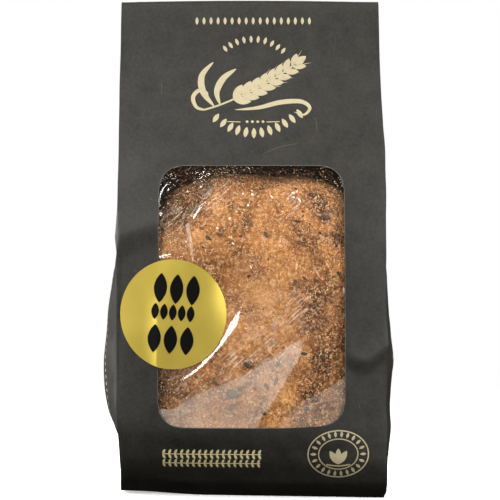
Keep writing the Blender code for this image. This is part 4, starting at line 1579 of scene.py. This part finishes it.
def set_marks(mesh, line, mark, count, tilt_degrees, first=1.0, last=1.0, closed=False):
    """Runs the tree along a line of points and adds its marks to a drawing."""
    path = bpy.data.meshes.new("line")
    edges = [(i, (i + 1) % len(line)) for i in range(len(line) if closed else len(line) - 1)]
    path.from_pydata([(p.x, 0, p.y) for p in line], edges, [])
    made = run_tree(MARKS, path, Mark=mark, Count=count, Tilt=-math.radians(tilt_degrees),
                    **{"First size": first, "Last size": last})
    made.materials.clear()
    mesh.from_mesh(made)


def lay_down(mesh, name, surface, ink, slot, replaced, place=(0, 0), turn=0.0, facing=FRONT,
             lift=INK_LIFT):
    """Lays a flat drawing on a surface: each point goes straight in until it meets it."""
    bmesh.ops.remove_doubles(mesh, verts=mesh.verts, dist=1e-7)
    if turn:
        bmesh.ops.rotate(mesh, verts=mesh.verts, matrix=Matrix.Rotation(turn, 3, "Y"))
    for vert in mesh.verts:
        sideways, height = vert.co.x + place[0], vert.co.z + place[1]
        start = Vector((0, sideways, height)) if facing.x else Vector((sideways, 0, height))
        hit, normal, _, _ = surface.ray_cast(start + facing * 0.3, -facing)
        vert.co = hit + normal * lift
    face_towards(mesh, facing)
    piece = give_thickness(link_piece(name, mesh, ink, smooth=False), INK_THICKNESS)
    return hand_over(piece, replaced)


def print_on_paper(mesh, name, ink, **settings):
    """Lays a drawing on the outside of the bag."""
    return lay_down(mesh, name, skin_tree, ink, "matt_black_paper", "bag", **settings)


def ink_material(name, colour, worn, roughness, gloss=0.2):
    """Flexographic ink: thin and even, a little starved where the rollers pressed less."""
    material, tree, place = new_material(name)
    press = add_node(tree, "ShaderNodeTexNoise", inputs={
        "Vector": place, "Scale": 0.5 / 0.0016, "Detail": 3})
    starved = add_node(tree, "ShaderNodeMapRange", inputs=[press, 0.55, 0.75, 0.0, 0.5])
    shade = add_node(tree, "ShaderNodeMix", {"data_type": "RGBA"},
                     {0: starved, 6: linear(colour), 7: linear(worn)})
    shader = add_node(tree, "ShaderNodeBsdfPrincipled", inputs={
        "Base Color": shade.outputs[2], "Roughness": roughness, "Specular IOR Level": gloss})
    add_node(tree, "ShaderNodeOutputMaterial", inputs=[shader])
    return material


cream_ink = ink_material("cream_flexographic_ink", "#a2977a", "#857b62", 0.6)
# a lighter copy of the same cream ink for the rows under the window, where less light falls:
# painted light
cream_ink_painted_lighter = ink_material("cream_flexographic_ink_painted_lighter", "#cdbf8f", "#a99c78", 0.6)
black_ink = ink_material("black_flexographic_ink", "#0a0908", "#12100d", 0.8, gloss=0.06)

# %% [markdown]
# ## Black grains on the label
#
# The label carries three rows of bold upright grains, a plain shape that any bakery could use.
# The whole drawing is tilted by five degrees, as the label was stuck on a little askew.

# %% Draw the label's grains
# each row: height above the label's middle, shift to the right, length of the row, number of
# grains, length and width of one grain, in millimetres
LABEL_ROWS = (
    (17.0, 1.2, 22.0, 3, 20.0, 9.0),
    (1.2, 0.0, 24.0, 5, 11.0, 5.2),
    (-17.0, 0.0, 22.0, 3, 19.0, 9.0),
)
LABEL_TURN = math.radians(5)

label_drawing = bmesh.new()
for height, shift, length, count, grain_length, grain_width in LABEL_ROWS:
    mark = kernel_mark("label_grain", grain_length * MM, grain_width * MM)
    foot = (height - grain_length / 2) * MM
    line = [Vector(((shift - length / 2) * MM, foot)), Vector(((shift + length / 2) * MM, foot))]
    set_marks(label_drawing, line, mark, count, 90)
lay_down(label_drawing, "label_grains", label_tree, black_ink, "gold_foil", "label",
         place=(LABEL_X, LABEL_Z), turn=LABEL_TURN, lift=0.00016)

# %% [markdown]
# ## The cream print on the paper
#
# The front carries a line of small grains near the fold, an ear of wheat with a curling stem
# below it, two rows of leaves under the window and a round stamp in the corner. The stamp looks
# squashed from the front, because the paper slopes back there.

# %% Draw and lay down the cream print
# the ear of wheat, in millimetres from the middle of the emblem
EMBLEM_PLACE = (0.0004, 0.2835)
STEM = ((-33, -17), (-20, -12.5), (0, -3), (17, 7), (31, 17))
EAR = ((-13, -9.4), (2, -2), (16, 6.4), (28, 14.8))
STEM_CURL = ((-33, -17), (-38.5, -15), (-41, -8), (-37, -3), (-31.5, -5), (-32.5, -9.5))
FLOURISH = ((-12, -17), (4, -15.5), (20, -11.5), (34, -11), (40, -15.5), (36, -20.5), (29, -18.5))
LEAVES = (((-22, -13.4), (-24.5, -4), (-20, 6), (-11, 13)),
          ((-26, -14.6), (-34, -4), (-35, 8), (-27, 18)))
TOP_ARC = ((-17.5, 25.5), (-9, 30.4), (1, 32), (11, 30), (20.5, 24))
BOTTOM_ARC = ((-27, -26), (-14, -34.2), (2.5, -37.5), (19, -33), (35, -23))
LINE_LEFT, LINE_RIGHT = ((-17, -25.5), (-8, -25.8)), ((10, -25.8), (19, -25.5))


def mm_line(points):
    return through(*[(x * MM, z * MM) for x, z in points])


def draw_emblem():
    """An ear of wheat on a curling stem with two leaves, between two arcs of grains."""
    mesh = bmesh.new()
    ribbon(mesh, mm_line(STEM), 1.3 * MM)
    ribbon(mesh, mm_line(STEM_CURL), lambda share: (1.3 + 1.6 * math.sin(math.pi * share)) * MM)
    ribbon(mesh, mm_line(FLOURISH), swell(3.4 * MM))
    for leaf in LEAVES:
        ribbon(mesh, mm_line(leaf), swell(4.6 * MM))
    kernel = kernel_mark("ear_kernel", 12.5 * MM, 5.6 * MM)
    awn = kernel_mark("ear_awn", 19 * MM, 0.55 * MM)
    for side in (-1, 1):
        set_marks(mesh, mm_line(EAR), kernel, 8, 34 * side, 1.0, 0.8)
        set_marks(mesh, mm_line(EAR[1:]), awn, 6, 24 * side, 1.0, 0.75)
    set_marks(mesh, mm_line(((28, 14.8), (34, 19.3))), kernel, 1, 0)
    small = kernel_mark("arc_kernel", 5.4 * MM, 2.3 * MM)
    set_marks(mesh, mm_line(TOP_ARC), small, 10, 90)
    large = kernel_mark("lower_arc_kernel", 7.6 * MM, 3.3 * MM)
    set_marks(mesh, mm_line(BOTTOM_ARC), large, 12, 90)
    for line in (LINE_LEFT, LINE_RIGHT):
        ribbon(mesh, mm_line(line), 0.6 * MM)
    dot = kernel_mark("dot", 2.2 * MM, 1.9 * MM)
    set_marks(mesh, mm_line(((-4.5, -25.6), (6.5, -25.6))), dot, 4, 0)
    return mesh


print_on_paper(draw_emblem(), "wheat_ear_print", cream_ink, place=EMBLEM_PLACE)

# %% The line of grains, the rows of leaves and the round stamp
STAMP_PLACE = (0.0583, 0.0324)
STAMP_RADIUS, STAMP_SQUASH = 20.4, 0.79
# each row: left and right end, height of its middle, number of marks, length, width, tilts
TOP_ROWS = ((-38.5, 41.0, 331.5, 17, 5.6, 2.2, (90,)),)
LOWER_ROWS = (
    (-60.0, 4.5, 32.1, 17, 3.9, 1.7, (62, -62)),
    (-60.0, 4.0, 25.6, 17, 3.3, 1.6, (62, -62)),
)


def stamp_circle(radius, count=60):
    """A circle, squashed as the sloping paper shows it."""
    return [Vector((radius * MM * math.cos(math.tau * i / count),
                    radius * MM * STAMP_SQUASH * math.sin(math.tau * i / count)))
            for i in range(count)]


def draw_rows(rows):
    mesh = bmesh.new()
    for left, right, height, count, length, width, tilts in rows:
        mark = kernel_mark("row_grain", length * MM, width * MM)
        foot = height - (length / 2 if tilts == (90,) else 0)
        for tilt in tilts:
            set_marks(mesh, mm_line(((left, foot), (right, foot))), mark, count, tilt)
        if len(tilts) > 1:
            ribbon(mesh, mm_line(((left, foot), (right + 2, foot))), 0.6 * MM)
    return mesh


def draw_stamp():
    mesh = bmesh.new()
    for radius, width in ((STAMP_RADIUS, 0.85), (STAMP_RADIUS * 0.65, 0.75)):
        ribbon(mesh, stamp_circle(radius, 90), width * MM, closed=True)
    tooth = kernel_mark("stamp_grain", 4.2 * MM, 1.9 * MM)
    set_marks(mesh, stamp_circle(STAMP_RADIUS * 0.72), tooth, 22, -90, closed=True)
    middle = kernel_mark("stamp_middle_grain", 11 * MM, 4.4 * MM)
    for lean in (58, 90, 122):
        set_marks(mesh, mm_line(((0, -7.0), (6, -7.0))), middle, 1, lean)
    ribbon(mesh, mm_line(((-8, -7.2), (0, -8.2), (8, -7.2))), 0.9 * MM)
    return mesh


print_on_paper(draw_rows(TOP_ROWS), "top_grains_print", cream_ink)
print_on_paper(draw_rows(LOWER_ROWS), "leaf_rows_print", cream_ink_painted_lighter)
print_on_paper(draw_stamp(), "round_stamp_print", cream_ink, place=STAMP_PLACE)

# %% [markdown]
# ## Small grains on the gussets, the cut edge and the scuffs
#
# Each gusset carries two upright lines of small grains, seen from the front only as a row of
# specks. A fine pale grey line runs round the window's cut outline, and handling has rubbed a few
# hair lines into the coating. These are ribbons too, in a pale grey and in the colour of rubbed
# paper.

# %% Draw the gussets' grains, the cut edge and the scuffs
# the lines' places behind the bag's middle plane (y) and their ends in height, in millimetres
GUSSET_LINES = ((-21, 42, 150), (-9, 42, 150))
SCUFFS = (((7.2, 234.7), (19.5, 239.9), (32.5, 242.6)), ((-77.8, 152.8), (-70.5, 156.1)),
          ((-79.3, 156.6), (-76.2, 153.4)), ((72.5, 66.0), (72.7, 63.3)),
          ((62.9, 191.2), (64.0, 190.6)), ((-62.7, 285.7), (-62.4, 277.3)),
          ((44.0, 262.0), (45.5, 250.0)), ((-70.0, 205.0), (-66.0, 203.0)))


def draw_gusset_lines():
    mesh = bmesh.new()
    grain = kernel_mark("gusset_grain", 3.0 * MM, 1.3 * MM)
    for middle, low, high in GUSSET_LINES:
        set_marks(mesh, mm_line(((middle, low), (middle, high))), grain, 24, 0)
    return mesh


def draw_cut_edge():
    """A line round the window, on the outline that the paper was cut to."""
    mesh = bmesh.new()
    half, low, high, corner = WINDOW_WIDTH / 2, WINDOW_BOTTOM, WINDOW_TOP, WINDOW_CORNER
    line = []
    for turn, x, z in ((0, half, high), (90, -half, high), (180, -half, low), (270, half, low)):
        for step in range(9):
            angle = math.radians(turn + 90 * step / 8)
            line.append((x - math.copysign(corner, x) + corner * math.cos(angle),
                         z + (corner if z == low else -corner) + corner * math.sin(angle)))
    line = [onto_outline(*place) for place in through(*line, closed=True)]
    ribbon(mesh, [Vector(place) for place in line], 0.0004, closed=True)
    return mesh


def draw_scuffs():
    mesh = bmesh.new()
    for scuff in SCUFFS:
        ribbon(mesh, mm_line(scuff), swell(0.42 * MM, 0.4))
    return mesh


pale_edge_line = ink_material("pale_grey_line_round_the_window", "#55514a", "#3e3a34", 0.8)
rubbed_coating = ink_material("rubbed_matt_coating", "#4b4740", "#34312c", 0.7)
for name, facing in (("left_gusset_print", LEFT), ("right_gusset_print", RIGHT)):
    print_on_paper(draw_gusset_lines(), name, cream_ink, facing=facing)
print_on_paper(draw_cut_edge(), "window_cut_edge", pale_edge_line)
print_on_paper(draw_scuffs(), "paper_scuffs", rubbed_coating)
